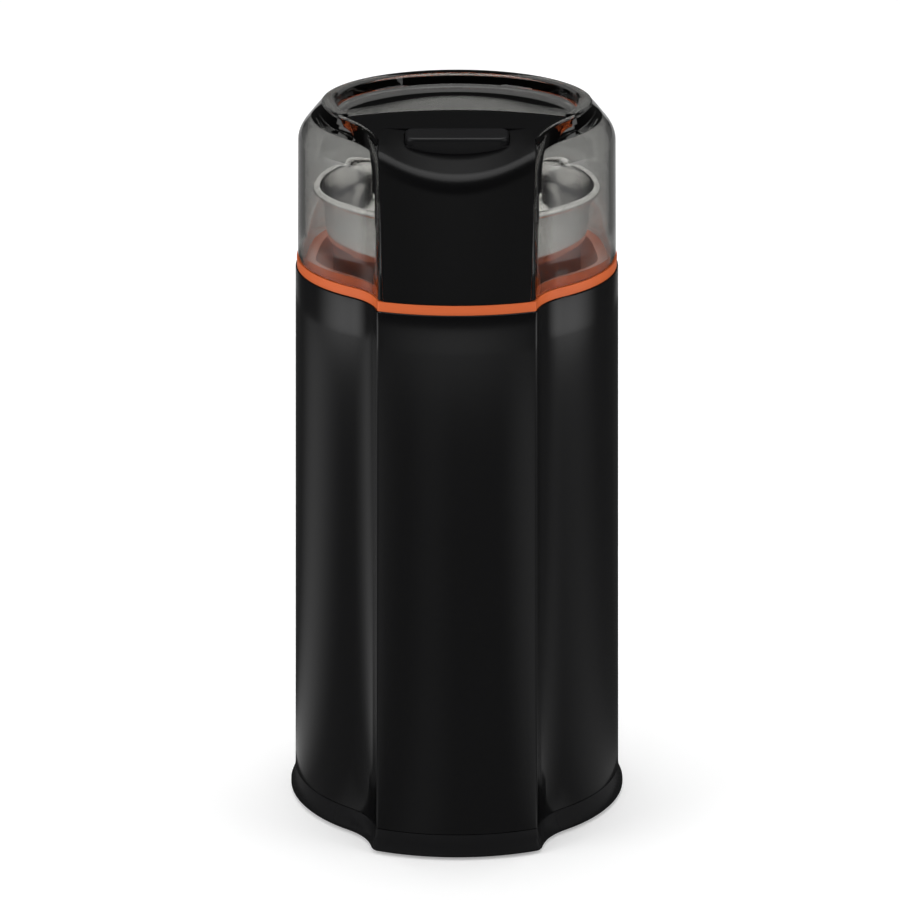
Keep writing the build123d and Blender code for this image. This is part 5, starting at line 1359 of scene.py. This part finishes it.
# the strength is 1 and the extra light, and dim in place of the 1 for mirrored rays
change = add_node(tree, "ShaderNodeMath", {"operation": "SUBTRACT"}, {0: dim, 1: 1.0})
less = add_node(tree, "ShaderNodeMath", {"operation": "MULTIPLY"}, {0: mirrored, 1: change})
more = add_node(tree, "ShaderNodeMath", {"operation": "ADD"}, {0: extra, 1: 1.0})
strength = add_node(tree, "ShaderNodeMath", {"operation": "ADD"}, {0: more, 1: less})
white = add_node(tree, "ShaderNodeBackground", inputs={"Color": WHITE, "Strength": strength})
room = add_node(tree, "ShaderNodeBackground", inputs={"Color": WHITE, "Strength": ROOM_LIGHT})
mixed = add_node(tree, "ShaderNodeMixShader", inputs={0: seen, 1: room, 2: white})
add_node(tree, "ShaderNodeOutputWorld", inputs={"Surface": mixed})

# %% [markdown]
# The camera looks down on the grinder, so its upright walls mirror the floor around it, and the light bands
# on the black casing are strips on a card that lies there. The card is seen by mirrored rays only. Its inner
# part is what the casing mirrors and its outer part what the lid and the black front mirror. Each strip
# swells and fades like the light of a soft box, and the card is a little darker behind the grinder.

# %% The reflection card
CARD_GREY, CARD_GREY_BEHIND, BEHIND_START, BEHIND_SPAN = 0.1, 0.04, 90, 40
CARD_RADII, CARD_STEPS, CARD_HEIGHT = (0.068, 0.63, 0.68, 3.9), 180, 0.0002
# strips: direction in degrees, 0 at the front and positive to the right, half width, brightness
CASING_STRIPS = [
    (-111, 30, 0.27),
    (-48, 18, 0.16),
    (-14, 14, 0.06),
    (42, 20, 0.28),
    (84, 34, 0.1),
    (180, 24, 0.25),
]
LID_STRIPS = [(-82, 34, 1.2), (0, 60, 0.35), (82, 34, 1.2), (180, 40, 0.5)]


def card_brightness(degrees, strips):
    """How bright the card is in a direction."""
    behind = min(max((abs(degrees) - BEHIND_START) / BEHIND_SPAN, 0.0), 1.0)
    value = CARD_GREY + (CARD_GREY_BEHIND - CARD_GREY) * behind
    for middle, half, strength in strips:
        away = abs((degrees - middle + 180) % 360 - 180)
        value += strength * (0.5 + 0.5 * math.cos(math.pi * min(away / half, 1.0)))
    return value


# %% Build the card
card_points, card_values, card_faces = [], [], []
for i in range(CARD_STEPS):
    degrees = -180 + 360 * i / CARD_STEPS
    direction = Vector((math.sin(math.radians(degrees)), -math.cos(math.radians(degrees)), 0))
    for ring, radius in enumerate(CARD_RADII):
        card_points.append(direction * radius + Vector((0, 0, CARD_HEIGHT)))
        card_values.append(card_brightness(degrees, CASING_STRIPS if ring < 2 else LID_STRIPS))
    for ring in range(len(CARD_RADII) - 1):
        here, beside = i * len(CARD_RADII) + ring, (i + 1) % CARD_STEPS * len(CARD_RADII) + ring
        card_faces.append((here, here + 1, beside + 1, beside))
card_mesh = bpy.data.meshes.new("card")
card_mesh.from_pydata(card_points, [], card_faces)
brightness = card_mesh.attributes.new("brightness", "FLOAT", "POINT")
brightness.data.foreach_set("value", card_values)
card = new_object("card", card_mesh)
card_material, tree = empty_material("grey_reflection_card")
value = add_node(tree, "ShaderNodeAttribute", {"attribute_name": "brightness"}).outputs["Fac"]
shine = add_node(tree, "ShaderNodeEmission", inputs={"Strength": value})
add_node(tree, "ShaderNodeOutputMaterial", inputs={"Surface": shine})
card.data.materials.append(card_material)
card.visible_camera = False
card.visible_diffuse = False
card.visible_transmission = False
card.visible_shadow = False

# %% [markdown]
# Three soft square lamps give the grinder its plain light: one above and a little behind, and a weaker one
# at each side. The eye doesn't see them, but glossy surfaces mirror them.

# %% Lamps


def softbox(name, place, aim, size, power):
    """A square soft lamp that points at a place."""
    lamp = bpy.data.lights.new(name, "AREA")
    lamp.shape = "SQUARE"
    lamp.size = size
    lamp.energy = power
    holder = bpy.data.objects.new(name, lamp)
    scene.collection.objects.link(holder)
    holder.location = place
    holder.rotation_euler = (Vector(aim) - Vector(place)).to_track_quat("-Z", "Y").to_euler()
    holder.visible_camera = False


softbox("lamp_top", (0.0, 0.4, 1.8), (0, 0, 0.1), 1.4, 12.0)
softbox("lamp_left", (-1.4, -0.7, 1.0), (0, 0, 0.12), 1.0, 7.0)
softbox("lamp_right", (1.4, -0.5, 0.9), (0, 0, 0.12), 1.0, 4.0)

# %% [markdown]
# A long lens from well away keeps the grinder's upright edges nearly parallel. The camera looks down by its
# elevation at a point on the spindle, and a small shift moves the picture sideways without turning the view.

# %% Camera
ELEVATION, DISTANCE, TARGET_HEIGHT = 18.3436, 1.42227, 0.122146
SENSOR, LENS, SHIFT = 36.0, 167.39, -6.9 / 900
camera_data = bpy.data.cameras.new("camera")
camera = bpy.data.objects.new("camera", camera_data)
scene.collection.objects.link(camera)
tilt = math.radians(ELEVATION)
camera.location = (0.0, -DISTANCE * math.cos(tilt), TARGET_HEIGHT + DISTANCE * math.sin(tilt))
camera.rotation_euler = (math.pi / 2 - tilt, 0.0, 0.0)
camera_data.sensor_width = SENSOR
camera_data.lens = LENS
camera_data.shift_x = SHIFT
scene.camera = camera
scene.view_settings.view_transform = "Standard"
